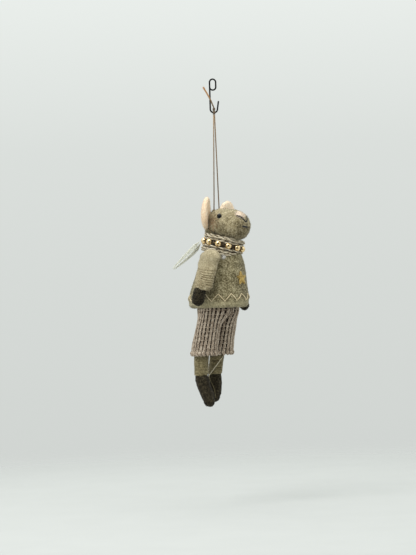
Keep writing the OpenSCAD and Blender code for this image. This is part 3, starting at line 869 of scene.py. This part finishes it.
def make_sweater():
    """The felted sweater: a plump hem with a painted highlight, and dents and painted shadow where the zigzag
    stitches pull it in.
    """
    points, faces, normals = skin("sweater", 0.58, 6)
    lo, hi = box("sweater")
    over_hem = points[:, 2] - lo[2]
    hem = bell(over_hem - 1.6, 1.8)
    lump = waves(points, (0.3, 7, 61), (0.16, 2.4, 62), (0.08, 1.0, 63))
    points = points + (lump + 0.45 * hem * (1 + 0.5 * noise(points, 5, 64)))[:, None] * normals
    over_hem = points[:, 2] - lo[2]
    # Painted highlight along the hem. The felt also gets a little lighter towards the top.
    tone = 0.44 + 0.06 * over_hem / (hi[2] - lo[2]) + 0.38 * bell(over_hem - 2.5, 3.0)
    tone = tone + waves(points, (0.08, 5, 65), (0.08, 1.6, 66))
    dent = np.zeros(len(points))
    for end in [e for pair in STITCHES for e in pair]:
        dent = np.maximum(dent, bell(away(points, end), 0.75))
    points = points - 0.5 * dent[:, None] * normals
    for start, end in STITCHES:
        share = np.clip((points - start) @ (end - start) / ((end - start) @ (end - start)), 0, 1)
        dent = np.maximum(dent, 0.6 * bell(away(points, start + share[:, None] * (end - start)), 0.8))
    # Painted shadow at the stitch ends and along each stitch.
    tone = np.clip(tone - 0.42 * dent, 0.05, 0.95)
    down = fibres(points, faces, 6000, 1.6, 0.05, 67, rise=0.3, tone=(0.1, 0.9), bends=2)
    fuzz = fibres(points, faces, 2200, 1.6, 0.028, 68, rise=1.0, tone=(0.6, 0.95), bends=2)
    shape = joined((points, faces, tone), down, fuzz)
    piece("felt_sweater", shape, "mouse", SWEATER, ["sweater"])
    return surface_tree(points, faces)


SWEATER_TREE = make_sweater()


def make_core():
    """The wool of neck and chest, with a felted nape that shows under the back of the head."""
    points, faces, _ = lumpy("body_core", 0.8, 4, (0.15, 3, 71), swell=-0.1)
    core = (points, faces, np.full(len(points), 0.35))
    nape, nape_r, half_height = np.array([0, -1.4, -108.0]), 9.8, 9.4
    bulge = [(nape_r * (1 - abs(r) ** 3) ** 0.42, half_height * r) for r in np.linspace(-0.99, 0.99, 30)]
    points, faces, _ = lathe([(POLE, -half_height)] + bulge + [(POLE, half_height)], 72, nape, UP)
    outward = unit(points - nape)
    points = points + waves(points, (0.3, 4, 72), (0.15, 1.5, 73))[:, None] * outward
    tone = np.clip(0.38 + 0.14 * noise(points, 2.5, 74), 0, 1)
    down = fibres(points, faces, 1500, 1.6, 0.045, 75, rise=0.4, tone=(0.15, 0.95))
    piece("felt_core", joined(core, (points, faces, tone), down), "mouse", WOOL, ["body_core"])


make_core()


def make_zigzag():
    """Each stitch is a two-ply thread that rises from its hole, arches over the felt and goes in again."""
    t = np.linspace(0, 1, 22)
    past_ends = 0.15
    lift = 0.75 * np.sin(np.pi * t) ** 0.4 - 0.35
    paths = []
    for a, b in STITCHES:
        on_felt = onto(SWEATER_TREE, a + (b - a) * ((1 + 2 * past_ends) * t[:, None] - past_ends))
        outward = unit((on_felt - middle("sweater")) * np.array([1, 1, 0]))
        paths.append(on_felt + lift[:, None] * outward)
    shape = tubes(paths, 0.33, sides=10, hint=UP, ply=2, pitch=1.4, depth=0.18)
    piece("zigzag_thread", shape, "mouse", GOLD_THREAD, ["hem_zigzag"])


make_zigzag()


def make_star():
    points, faces, _ = lumpy("star", 0.22, 5, (0.1, 1.6, 81), (0.05, 0.6, 82))
    tone = np.clip(0.5 + 0.12 * noise(points, 1.2, 83), 0, 1)
    down = fibres(points, faces, 1200, 0.9, 0.03, 84, rise=0.3, tone=(0.4, 0.9))
    piece("felt_star", joined((points, faces, tone), down), "mouse", MUSTARD, ["star"])


make_star()


# ---------- collar ----------

BEADS = [f"bead_{i:02d}" for i in range(1, 13)]
BEAD_PLACES = np.array([middle(b) for b in BEADS])
COLLAR_MIDDLE = BEAD_PLACES.mean(axis=0)
COLLAR_AXIS = unit(np.cross(BEAD_PLACES[0] - COLLAR_MIDDLE, BEAD_PLACES[3] - COLLAR_MIDDLE))
COLLAR_SIDE = unit(BEAD_PLACES[0] - COLLAR_MIDDLE)
COLLAR_AHEAD = np.cross(COLLAR_AXIS, COLLAR_SIDE)
BEAD_RING = float(np.linalg.norm(BEAD_PLACES - COLLAR_MIDDLE, axis=1).mean())


def on_collar(angle, radius, rise):
    """A place by its angle round the neck, its distance from the neck's axis and its height on it."""
    angle, radius, rise = np.broadcast_arrays(angle, radius, rise)
    out = np.cos(angle)[..., None] * COLLAR_SIDE + np.sin(angle)[..., None] * COLLAR_AHEAD
    return COLLAR_MIDDLE + radius[..., None] * out + rise[..., None] * COLLAR_AXIS


def ring_band(radius, half_width, half_height, rise, tone, lump, seed):
    """A plump closed band round the neck."""
    sides = 120
    around = np.radians(np.arange(0, 360, 18))
    angle = 2 * np.pi * np.arange(sides)[:, None] / sides
    p = on_collar(angle, radius + half_width * np.cos(around), rise + half_height * np.sin(around))
    out = unit(p - on_collar(angle, radius, rise))
    p = (p + (lump * noise(p, 1.4, seed))[..., None] * out).reshape(-1, 3)
    return p, [cells(sides, len(around), round_rows=True)], np.full(len(p), tone)


def crochet_row(rise, spread, count, radius, yarn, lean, seed):
    """A row of V stitches that lie along the band, each tucked under the next."""
    rng = np.random.default_rng(seed)
    pitch = 2 * np.pi / count
    t = np.linspace(0, 1, 11)
    paths, tone = [], []
    for k in range(count):
        shade = rng.uniform(0.5, 0.98)
        for s in (-1, 1):
            jitter = rng.normal(scale=0.08)
            angle = (k + 1.5 * t + 0.05 * rng.normal() + (0.2 if s > 0 else 0)) * pitch
            across = s * spread * (1 - t) ** 0.7 + lean * t + jitter
            arch = 1.2 * np.sin(np.pi * np.clip(t * 1.2, 0, 1)) ** 0.7
            lift = radius + arch - 0.3 * np.abs(across) / spread
            paths.append(on_collar(angle, lift, rise + across))
            # The ends of each stitch are darker: painted shade where it tucks under the next.
            tone.append(np.interp(t, [0, 0.4, 1], [0.08, shade, 0.16]))
    wide = yarn * np.array([0.5, 0.8, 0.95, 1.0, 1.05, 1.05, 1.0, 0.95, 0.85, 0.7, 0.45])
    return tubes(paths, wide, sides=10, hint=COLLAR_AXIS, ply=2, pitch=1.5, depth=0.2, tone=np.array(tone))


def make_collar():
    """A dark middle row for the beads between two light rows, the upper one narrower."""
    core = ring_band(11.4, 1.2, 3.6, rise=0.0, tone=0.2, lump=0.3, seed=91)
    laced = crochet_row(0.0, 1.3, count=26, radius=12.2, yarn=0.5, lean=0.0, seed=92)
    piece("collar_middle", joined(core, laced), "mouse", BROWN, ["collar_core"])
    for name, sign, tall in (("top", 1, 0.8), ("bottom", -1, 1.0)):
        # The band under each light row is drawn almost black: painted shade in the gaps between its stitches.
        band = ring_band(11.6, 1.5, 1.9 * tall, rise=sign * 4.1 * tall, tone=0.02, lump=0.2, seed=93 + sign)
        row = crochet_row(sign * 3.7 * tall ** 0.5, 1.6, count=15, radius=13.2, yarn=0.48, lean=-0.2 * sign,
                          seed=95 + sign)
        edge = crochet_row(sign * 5.6 * tall, 1.0, count=16, radius=12.9, yarn=0.46, lean=0.1 * sign,
                           seed=97 + sign)
        down = fibres(row[0], row[1], 1100, 1.1, 0.035, 99 + sign, rise=0.5, tone=(0.5, 0.95))
        piece(f"collar_{name}_row", joined(band, row, edge, down), "mouse", CREAM,
              [f"collar_{name}_roll"])


make_collar()


def make_beads():
    """Pierced gold beads, drawn a little larger than the CAD has them, and the thread through them."""
    hole, sides, steps = 0.42, 36, 26
    lo, hi = box(BEADS[0])
    radius = 1.06 * (hi[2] - lo[2]) / 2
    edge = math.acos(hole / radius) * 0.97
    outer = [(radius * math.cos(a), radius * math.sin(a)) for a in np.linspace(-edge, edge, steps)]
    top = outer[-1][1]
    inner = [(0.9 * hole, 0.96 * top), (0.8 * hole, 0.6 * top), (0.8 * hole, 0)]
    inner += [(r, -z) for r, z in inner[1::-1]]
    for name, place in zip(BEADS, BEAD_PLACES):
        way = np.cross(COLLAR_AXIS, unit(place - COLLAR_MIDDLE))
        points, faces, tone = lathe(outer + inner, sides, place, way)
        # Painted shade: the inside of each bead's hole is drawn dark.
        tone[steps * sides :] = 0.0
        piece(f"gold_{name}", (points, faces, tone), "mouse", GOLD, [name])
    angle = np.linspace(0, 2 * np.pi, 240)
    string = on_collar(angle, BEAD_RING, 0.1 * np.sin(len(BEADS) * angle))
    shape = tubes([string], 0.27, sides=8, hint=COLLAR_AXIS, ply=2, pitch=1.2)
    piece("bead_thread", shape, "mouse", BROWN, ["bead_string"])


make_beads()


def make_fluff():
    """A tuft of white fluff caught under the collar, with curled fibres."""
    rng = np.random.default_rng(201)
    root = seen(SWEATER_TREE, 3.8, -124.4) + 0.2 * FRONT
    t = np.linspace(0, 1, 12)
    paths = []
    for _ in range(90):
        start = root + rng.normal(scale=(0.45, 0.45, 0.7))
        way = unit(rng.normal(size=3) + 0.9 * FRONT)
        side = unit(np.cross(way, rng.normal(size=3)))
        size = rng.uniform(0.8, 1.7)
        curl = size * 0.5 * np.sin(np.pi * t * rng.uniform(1.0, 1.8))
        paths.append(start + size * t[:, None] * way + curl[:, None] * side)
    shape = tubes(paths, 0.07 * np.interp(t, [0, 0.7, 1], [1, 0.9, 0.3]), sides=4, tone=0.48)
    piece("collar_fluff", shape, "mouse", FLUFF)


make_fluff()


# ---------- label ----------

def thin_solid(grid, thickness):
    """A closed sheet from a grid of points."""
    rows, columns, _ = grid.shape
    n = unit(np.cross(np.gradient(grid, axis=0), np.gradient(grid, axis=1)))
    points = np.concatenate([(grid + side * thickness * n).reshape(-1, 3) for side in (0.5, -0.5)])
    half = rows * columns
    face = cells(rows, columns, round_columns=False)
    back = face[:, ::-1] + half
    edge = np.concatenate([np.arange(columns), np.arange(1, rows) * columns + columns - 1,
                           half - 2 - np.arange(columns - 1), (np.arange(rows - 2, 0, -1)) * columns])
    following = np.roll(edge, -1)
    rim = np.stack([edge, following, following + half, edge + half], axis=-1)
    return points, [np.concatenate([face, back, rim])], np.full(2 * half, 0.5)


def make_label():
    """The satin label, folded once and held at the collar. It twists a little between collar and fold."""
    hinge = np.array(JOINTS["label_flap"]["pos_m"]) / MM
    across = np.array(JOINTS["label_flap"]["axis"], float)
    corners = node_points("label") - hinge
    width = np.ptp(corners @ across)
    flat = corners - np.outer(corners @ across, across)
    length = np.linalg.norm(flat, axis=1).max()
    along = unit(flat[np.argmax(np.linalg.norm(flat, axis=1))])
    proud = unit(np.cross(across, along))
    if proud[2] < 0:
        proud = -proud
    fold, tip = 0.4, length - 0.5
    t = np.linspace(0, 1, 34)
    upper = [((length + 0.9) * s - 1.4, 0.25 + 0.35 * math.sin(3 * s)) for s in t]
    turn = [(tip + fold * math.sin(a), -fold + 0.3 + fold * math.cos(a))
            for a in np.radians(np.arange(20, 170, 20))]
    lower = [(tip - (length + 0.3) * s, -0.85 - 1.5 * math.sin(math.pi * (1 - s) ** 0.75) * (0.8 + 0.2 * s))
             for s in t]
    profile = smooth_path([(x, 0, z) for x, z in upper[::3] + turn + lower[::3]], 110)
    width_flat = width * 0.96
    lateral = np.linspace(-0.5, 0.5, 15) * width_flat
    grid = []
    for x, _, z in profile:
        roll = math.radians(13 - 12 * (x / length) ** 2)
        roll = roll * min(1, max(0, (x + 0.5) / 4))     # none at the root, which flaps beside a bead
        side = math.cos(roll) * across + math.sin(roll) * proud
        cup = [0.18 * math.cos(math.pi * w / width) for w in lateral]
        grid.append([hinge + x * along + (z + c) * proud + w * side for w, c in zip(lateral, cup)])
    grid = np.array(grid)
    ripple = 0.14 * noise(grid.reshape(-1, 3), 6, 101).reshape(grid.shape[:2])
    grid = grid + ripple[..., None] * proud
    label = piece("satin_label", thin_solid(grid, 0.22), "label", SATIN, ["label"])
    stitches = []
    for a, b in islands("label_stitch"):
        t = np.linspace(0, 1, 14)[:, None]
        stitches.append(a + (b - a) * t + 0.2 * np.sin(np.pi * t) * proud)
    shape = tubes(stitches, 0.17, sides=8, hint=proud, ply=2, pitch=0.9)
    piece("label_thread", shape, "label", GOLD_THREAD, ["label_stitch"])


make_label()


# ---------- wound limbs ----------

def centre_line(points, heights, window=1.2):
    """The middle of a limb at each height, as (x, y)."""
    found = []
    for z in heights:
        near = points[np.abs(points[:, 2] - z) < window]
        found.append((near.min(axis=0) + near.max(axis=0))[:2] / 2)
    return np.array(found)


def wound(points, faces, top, bottom, pitch, yarn, seed, tilt=0.4, rise=0.0, tone=(0.4, 0.7)):
    """Yarn wound round a limb from top to bottom; rise slants the last turns up to the back."""
    steps = 44              # to a turn
    rng = np.random.default_rng(seed)
    tree = surface_tree(points, faces)
    turns = (top - bottom) / pitch
    t = np.linspace(0, turns, int(turns * steps))
    z = top - pitch * (t + 0.06 * np.sin(2.1 * t + seed) + 0.04 * np.sin(5.3 * t))
    levels = np.linspace(top, bottom, 24)
    line = centre_line(points, levels)
    centre = np.stack([np.interp(-z, -levels, line[:, k]) for k in (0, 1)], axis=1)
    angle = 2 * np.pi * t
    z = z + tilt * np.sin(angle + 0.7) + 0.1 * noise(np.stack([t * 2, t, z], axis=1), 1.0, seed)
    z = z + rise * np.sin(angle) * t / turns
    path = []
    for c, a, h in zip(centre, angle, z):
        start = Vector((c[0] + AROUND * math.cos(a), c[1] + AROUND * math.sin(a), h))
        hit, normal, _, _ = tree.ray_cast(start, Vector((-math.cos(a), -math.sin(a), 0)))
        if hit is not None:
            path.append(np.array(hit) + 0.1 * yarn * np.array(normal))
    start = np.clip(np.arange(len(path)) / (2.5 * steps), 0, 1)
    shade = np.interp(np.linspace(0, 1, len(path)), np.linspace(0, 1, 90), rng.uniform(*tone, 90))
    return tubes([path], yarn * (0.45 + 0.55 * start)[None, :], sides=6, hint=UP, tone=shade[None, :])


def shoulder_root(side, seed):
    """The round root of a sleeve, felted into the sweater about the shoulder's own axis."""
    hinge = np.array(JOINTS[f"{side}_shoulder"]["pos_m"]) / MM
    inward = np.array([-np.sign(hinge[0]), 0.0, 0.0])
    lengths = np.linspace(-1.5, 6.5, 22)
    wide = 5.6 * np.sqrt(np.clip(1 - ((lengths - 1.5) / 5.4) ** 2, 0, 1))
    profile = [(POLE, lengths[0] - 0.05)] + list(zip(wide, lengths)) + [(POLE, lengths[-1] + 0.05)]
    points, faces, _ = lathe(profile, 48, hinge, inward)
    points = points + (0.25 * noise(points, 2.5, seed))[:, None] * unit(points - hinge - 2 * inward)
    tone = np.clip(0.5 + 0.1 * noise(points, 2.0, seed + 1), 0, 1)
    down = fibres(points, faces, 700, 1.8, 0.05, seed, rise=0.3, tone=(0.25, 0.95))
    return joined((points, faces, tone), down)


def make_arms():
    for side, seed in (("right", 110), ("left", 120)):
        sleeve, hand = f"{side}_sleeve", f"{side}_hand"
        points, faces, _ = lumpy(sleeve, 0.42, 5, (0.22, 4, seed), (0.12, 1.3, seed + 1))
        lo, hi = box(sleeve)
        height = (points[:, 2] - lo[2]) / (hi[2] - lo[2])
        # Painted light: the sleeve gets lighter towards its top.
        tone = np.clip(0.44 + 0.5 * height + 0.08 * noise(points, 2.5, seed + 2), 0, 1)
        yarn = wound(points, faces, hi[2] - 13, lo[2] + 4.4, pitch=1.3, yarn=0.6, seed=seed, tilt=0.5,
                     rise=3.0, tone=(0.36, 0.72))
        down = fibres(points, faces, 3600, 1.7, 0.05, seed + 3, rise=0.3, tone=(0.25, 0.95))
        fuzz = fibres(points, faces, 1400, 1.5, 0.028, seed + 8, rise=1.0, tone=(0.6, 0.95))
        shape = joined((points, faces, tone), yarn, down, fuzz, shoulder_root(side, seed + 7))
        piece(f"{sleeve}_wool", shape, f"{side}_arm", SLEEVE, [sleeve])
        points, faces, _ = lumpy(hand, 0.34, 5, (0.12, 2, seed + 4), hull=True)
        lo, hi = box(hand)
        yarn = wound(points, faces, hi[2] - 1, lo[2] + 2.2, pitch=1.15, yarn=0.5, seed=seed + 5,
                     tone=(0.3, 0.6))
        down = fibres(points, faces, 1800, 1.2, 0.045, seed + 6, rise=0.4, tone=(0.2, 0.9))
        shape = joined((points, faces, np.full(len(points), 0.3)), yarn, down)
        piece(f"{hand}_wool", shape, f"{side}_arm", DARK, [hand])


make_arms()


def stray_thread():
    """A pale loose end that hangs from the left leg's hem, down in front of that leg to the boot."""
    steps, over = 60, 0.5
    trees = [surface_tree(*skin(node, 0.5, 4)[:2]) for node in ("left_leg_wrap", "left_boot")]
    route = [(2.0, -193.0), (-3.0, -199.5), (-8.6, -207.0), (-8.4, -209.6), (-5.8, -216.0), (-4.6, -223.0)]
    line = smooth_path([(across, 0, height) for across, height in route], steps)
    depth = []
    for across, _, height in line:
        hits = [seen(tree, across, height) for tree in trees]
        depth.append(max([hit @ FRONT for hit in hits if hit is not None], default=np.nan))
    known = np.flatnonzero(~np.isnan(depth))
    depth = np.interp(np.arange(steps), known, np.array(depth)[known])
    depth = np.convolve(np.pad(depth, 3, mode="edge"), np.ones(7) / 7, mode="valid") + over
    path = line[:, :1] * ACROSS + line[:, 2:] * UP + depth[:, None] * FRONT
    below = np.clip((-207.5 - line[:, 2]) / 2.5, 0, 1)      # it gets thinner and darker below the boot's top
    radii, tone = 0.26 - 0.1 * below, 1.6 - 1.2 * below
    return tubes([path], radii[None, :], sides=6, hint=FRONT, tone=tone[None, :])


def make_legs():
    # Painted shade: the left leg's yarn is drawn darker than the right one's.
    for side, seed, shade in (("right", 130, (0.4, 0.75)), ("left", 140, (0.25, 0.6))):
        wrap, boot = f"{side}_leg_wrap", f"{side}_boot"
        points, faces, _ = lumpy(wrap, 0.42, 4, (0.15, 3, seed), hull=True, swell=-0.15)
        lo, _ = box(wrap)
        yarn = wound(points, faces, lo[2] + 17, lo[2] + 0.2, pitch=0.8, yarn=0.42, seed=seed, tone=shade)
        down = fibres(points, faces, 1500, 1.1, 0.04, seed + 3, rise=0.4, tone=(0.4, 0.9))
        shape = joined((points, faces, np.full(len(points), 0.35)), yarn, down)
        if side == "left":
            shape = joined(shape, stray_thread())
        piece(f"{side}_leg_yarn", shape, f"{side}_leg", LEG, [wrap])
        points, faces, _ = lumpy(boot, 0.4, 5, (0.22, 3, seed + 4), (0.14, 1.1, seed + 5))
        tone = np.clip(0.4 + 0.17 * noise(points, 1.2, seed + 6), 0.05, 1)
        down = fibres(points, faces, 3600, 1.1, 0.04, seed + 7, rise=0.3, tone=(0.2, 1.0))
        piece(f"{boot}_felt", joined((points, faces, tone), down), f"{side}_leg", DARK, [boot])


make_legs()


# ---------- shorts ----------

def shorts_surface(side, heights, columns):
    """Outer surface of one half of the shorts, from the waist to the hem, as a grid of points.

    Rays find the waist and the leg round a middle line that curves down from one to the other.
    """
    half_gap = 0.25         # from this half to the middle of the mouse
    sign = -1 if side == "right" else 1
    leg = f"{side}_shorts_leg"
    trees = []
    for node in ("shorts_waist", leg):
        bm = bmesh.new()
        bm.from_mesh(frame["nodes"][node].data)
        bmesh.ops.triangulate(bm, faces=bm.faces)
        trees.append(BVHTree.FromBMesh(bm))
        bm.free()
    lo, hi = box(leg)
    cx = (lo[0] + hi[0]) / 2
    leg_points = node_points(leg)
    levels = np.linspace(hi[2] - 8, lo[2] + 1.5, 10)
    line = centre_line(leg_points, levels, 4.0)
    waist = middle("shorts_waist")
    bend = np.polyfit(np.append(levels, waist[2] + 3), np.append(line[:, 1], waist[1]), 2)
    cy = np.polyval(bend, heights)
    angle = 2 * np.pi * np.arange(columns) / columns
    reach = np.zeros((len(heights), columns))
    for i, z in enumerate(heights):
        for j, a in enumerate(angle):
            start = Vector((cx + AROUND * math.cos(a), cy[i] + AROUND * math.sin(a), z)) * MM
            way = Vector((-math.cos(a), -math.sin(a), 0))
            hits = [tree.ray_cast(start, way, AROUND * MM)[0] for tree in trees]
            far = max([AROUND - (hit - start).length / MM for hit in hits if hit is not None], default=0)
            toward_middle = -sign * math.cos(a)
            if toward_middle > 0.02:
                far = min(far, (abs(cx) - half_gap) / toward_middle)
            reach[i, j] = far
    for _ in range(3):
        reach = (np.roll(reach, 1, axis=1) + 2 * reach + np.roll(reach, -1, axis=1)) / 4
    for _ in range(40):
        reach[1:-1] = (reach[:-2] + 2 * reach[1:-1] + reach[2:]) / 4
    x = cx + reach * np.cos(angle)
    y = cy[:, None] + reach * np.sin(angle)
    return np.stack([x, y, np.broadcast_to(heights[:, None], x.shape)], axis=-1)


def closed_tube(grid, tone):
    """A grid that closes on itself, with both ends capped."""
    rows, columns, _ = grid.shape
    caps = np.stack([np.arange(columns), (rows - 1) * columns + np.arange(columns)[::-1]])
    return grid.reshape(-1, 3), [cells(rows, columns), caps], np.full(rows * columns, tone)


def make_shorts():
    """Ribbed knit: columns of V stitches, a rung across each gap, and a rolled edge at the hem, over a dark
    shell that is painted shade in the gaps.
    """
    ribs, stitch, columns, base_depth = 20, 3.0, 180, 1.9
    rows_a_stitch = 4
    for side, seed in (("right", 150), ("left", 160)):
        leg = f"{side}_shorts_leg"
        top, hem = box("shorts_waist")[1][2] - 0.6, box(leg)[0][2] + 0.6
        stitches = int(round((top - hem) / stitch))
        rows = stitches * rows_a_stitch + 1
        grid = shorts_surface(side, np.linspace(top, hem, rows), columns)
        centre = grid.mean(axis=1, keepdims=True)
        around = np.roll(grid, -1, axis=1) - np.roll(grid, 1, axis=1)
        outward = unit(np.cross(around, -UP))
        outward = np.where(((grid - centre) * outward).sum(axis=-1, keepdims=True) < 0, -outward, outward)
        step = np.linalg.norm(np.diff(grid[rows // 2], axis=0, append=grid[rows // 2][:1]), axis=1)
        arc = np.concatenate([[0], np.cumsum(step)])
        pitch = arc[-1] / ribs

        def column_at(length):
            return np.interp(np.mod(length, arc[-1]), arc, np.arange(columns + 1))

        def at(row, length, lift):
            """A point of the knit: a row of the grid, a distance round it and a height over it."""
            row = np.clip(row, 0, rows - 1)
            column = column_at(length)
            r0 = np.minimum(np.floor(row).astype(int), rows - 2)
            c0 = np.floor(column).astype(int)
            fr, fc = (row - r0)[..., None], (column - c0)[..., None]
            found = 0
            normal = 0
            for dr, dc in itertools.product((0, 1), repeat=2):
                share = (fr if dr else 1 - fr) * (fc if dc else 1 - fc)
                found = found + share * grid[r0 + dr, (c0 + dc) % columns]
                normal = normal + share * outward[r0 + dr, (c0 + dc) % columns]
            return found + lift[..., None] * unit(normal)

        def round_way(length):
            """The level direction round the knit at one place."""
            return unit(around[rows // 2, int(column_at(length)) % columns])

        rng = np.random.default_rng(seed)
        t = np.linspace(0, 1, 9)
        leg_shape = np.array([0.6, 0.9, 1.05, 1.1, 1.1, 1.05, 1.0, 0.85, 0.5])
        legs, leg_radius, leg_tone, leg_hint = [], [], [], []
        rungs, rung_tone = [], []
        for rib in range(ribs):
            wander = rng.normal(scale=0.025, size=stitches + 3)
            for k in range(stitches):
                low = k / stitches
                swell = 1 + 0.35 * np.clip((low - 0.62) / 0.3, 0, 1) ** 1.5
                shade = rng.uniform(0.42, 0.78)
                for s in (-1, 1):
                    row = (k - 0.3 + 1.6 * t) * rows_a_stitch
                    across = (rib + wander[k]) * pitch + s * (0.40 * swell * (1 - t) ** 0.6 + 0.08)
                    lift = -0.55 + 0.26 * np.sin(np.pi * t) ** 0.7 - 0.25 * t + 0.3 * (swell - 1)
                    legs.append(at(row, across, lift))
                    leg_radius.append(0.42 * swell ** 0.8 * leg_shape)
                    # Painted shade: each stitch is darker at its ends, where it dips.
                    leg_tone.append(np.interp(t, [0, 0.3, 0.8, 1], [0.4, shade, shade, 0.38]))
                    leg_hint.append(round_way(across[4]))
                row = (k + 0.5 + 0.1 * np.sin(np.pi * t)) * rows_a_stitch
                across = (rib + 0.2 + 0.6 * t) * pitch
                rungs.append(at(row, across, -0.92 + (0.3 + 0.2 * (swell - 1)) * np.sin(np.pi * t)))
                # Painted shade: the rungs are darker, down in the gaps.
                rung_tone.append(np.full(len(t), rng.uniform(0.25, 0.48)))
        turn = np.radians(np.linspace(-70, 210, len(t)))
        rolls = []
        roll_hint = [round_way(rib * pitch) for rib in range(ribs)]
        for rib in range(ribs):
            last = np.full(len(t), rows - 1.0)
            base = at(last, rib * pitch + 0.5 * np.sin(turn), -0.5 + 0.75 * np.cos(turn))
            rolls.append(base + (0.9 - 1.1 * np.sin(turn))[:, None] * UP)
        # The first part is a near-black inner shell: painted shade that shows between the ribs.
        shape = joined(
            closed_tube(grid - base_depth * outward, 0.0),
            tubes(legs, np.array(leg_radius), sides=8, hint=leg_hint, ply=2, pitch=1.5, depth=0.16,
                  tone=np.array(leg_tone)),
            tubes(rungs, 0.36 * np.array([0.8, 0.9, 1, 1, 1, 1, 1, 0.9, 0.8]), sides=6, hint=UP,
                  tone=np.array(rung_tone)),
            tubes(rolls, np.array([0.6, 0.9, 1, 1.05, 1.05, 1.05, 1, 0.9, 0.6]), sides=9,
                  hint=roll_hint, ply=2, pitch=1.6, depth=0.14),
        )
        stitch_walls = shape[1][2]
        down = fibres(shape[0], [stitch_walls], 2600, 1.1, 0.035, seed + 1, rise=0.5, tone=(0.5, 0.95))
        obj = piece(f"{side}_shorts_knit", joined(shape, down), None, KNIT,
                    ["shorts_waist", leg])
        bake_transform(obj)


make_shorts()


# ---------- CAD nodes that stay ----------

def dress_nodes():
    wires = [f"{side}_{limb}_wire" for side in ("right", "left") for limb in ("arm", "leg")]
    for node, material in [("hook", HOOK_WIRE)] + [(wire, CORE_WIRE) for wire in wires]:
        mesh = frame["nodes"][node].data
        mesh.materials.clear()
        mesh.materials.append(material)


dress_nodes()


# ---------- room ----------

def make_backdrop():
    """A pale studio round everything, lighter from bottom to top."""
    scene = bpy.context.scene
    scene.view_settings.view_transform = "Standard"
    scene.view_settings.look = "None"
    world = bpy.data.worlds.new("studio")
    scene.world = world
    world.use_nodes = True
    tree = world.node_tree
    place = tree.nodes.new("ShaderNodeTexCoord")
    split = tree.nodes.new("ShaderNodeSeparateXYZ")
    to_unit = tree.nodes.new("ShaderNodeMapRange")
    to_unit.inputs["From Min"].default_value = -1
    ramp = tree.nodes.new("ShaderNodeValToRGB")
    stops = [(0.0, 0.55), (0.44, 0.64), (0.5, 0.695), (0.53, 0.73), (0.565, 0.845), (0.75, 1.0), (1.0, 1.2)]
    while len(ramp.color_ramp.elements) < len(stops):
        ramp.color_ramp.elements.new(0.5)
    for element, (at, value) in zip(ramp.color_ramp.elements, stops):
        element.position = at
        element.color = (0.968 * value, 1.012 * value, 0.978 * value, 1)
    tree.links.new(place.outputs["Generated"], split.inputs[0])
    tree.links.new(split.outputs["Z"], to_unit.inputs["Value"])
    tree.links.new(to_unit.outputs["Result"], ramp.inputs["Fac"])
    tree.links.new(ramp.outputs["Color"], tree.nodes["Background"].inputs["Color"])


def add_disc(name, origin, middle, radius, sides, axes, material):
    """A flat disc. Its middle and its texture are both measured from the origin."""
    angle = 2 * np.pi * np.arange(sides)[:, None] / sides
    disc = middle + radius * (np.cos(angle) * axes[0] + np.sin(angle) * axes[1])
    obj = bpy.data.objects.new(name, make_mesh(name, disc, [np.arange(sides)[None, :]]))
    obj.location = origin * MM
    obj.data.materials.append(material)
    bpy.context.scene.collection.objects.link(obj)
    return obj


def make_floor():
    """A round sheet of pale paper that fades out at its edge."""
    n = Nodes("floor_paper")
    distance = n.add("ShaderNodeVectorMath", operation="LENGTH")
    n.link(n.place, distance.inputs[0])
    fade = n.spread(distance.outputs["Value"], 0.2, 0.62, interpolation_type="SMOOTHSTEP")
    colour = n.ramp(n.noise(40.0), (0.3, (0.465, 0.475, 0.465, 1)), (0.7, (0.48, 0.49, 0.48, 1)))
    n.finish(colour, 0.9)
    n.surface_mix(fade, n.add("ShaderNodeBsdfTransparent"))
    add_disc("floor", -300.0 * UP, 0.0, 650.0, 64, (np.eye(3)[0], np.eye(3)[1]), n.material)


def make_dark_card():
    """A round dark card between camera and mouse, which only reflections in beads, eyes and wire show."""
    n = Nodes("dark_card")
    n.finish(n.ramp(n.noise(60.0), (0.3, grey(0.01)), (0.7, grey(0.02))), 0.9)
    middle = 950.0 * FRONT - 120.0 * UP
    card = add_disc("dark_card", 0.0 * UP, middle, 760.0, 48, (ACROSS, UP), n.material)
    card.visible_camera = False
    card.visible_diffuse = False
    card.visible_transmission = False
    card.visible_shadow = False


def add_light(name, way, distance, size, power):
    """A round soft lamp that faces the middle of the mouse."""
    target = Vector((0, 0, -0.14))
    way = Vector(way).normalized()
    light = bpy.data.lights.new(name, "AREA")
    light.shape = "DISK"
    light.size = size
    light.energy = power
    obj = bpy.data.objects.new(name, light)
    obj.location = target + distance * way
    obj.rotation_mode = "QUATERNION"
    obj.rotation_quaternion = way.to_track_quat("Z", "Y")
    bpy.context.scene.collection.objects.link(obj)


make_backdrop()
make_floor()
make_dark_card()
add_light("key", FRONT * 0.7 - ACROSS * 0.55 + UP * 1.1, distance=1.3, size=0.7, power=8.5)
add_light("top", UP + FRONT * 0.1, distance=1.2, size=0.9, power=4)
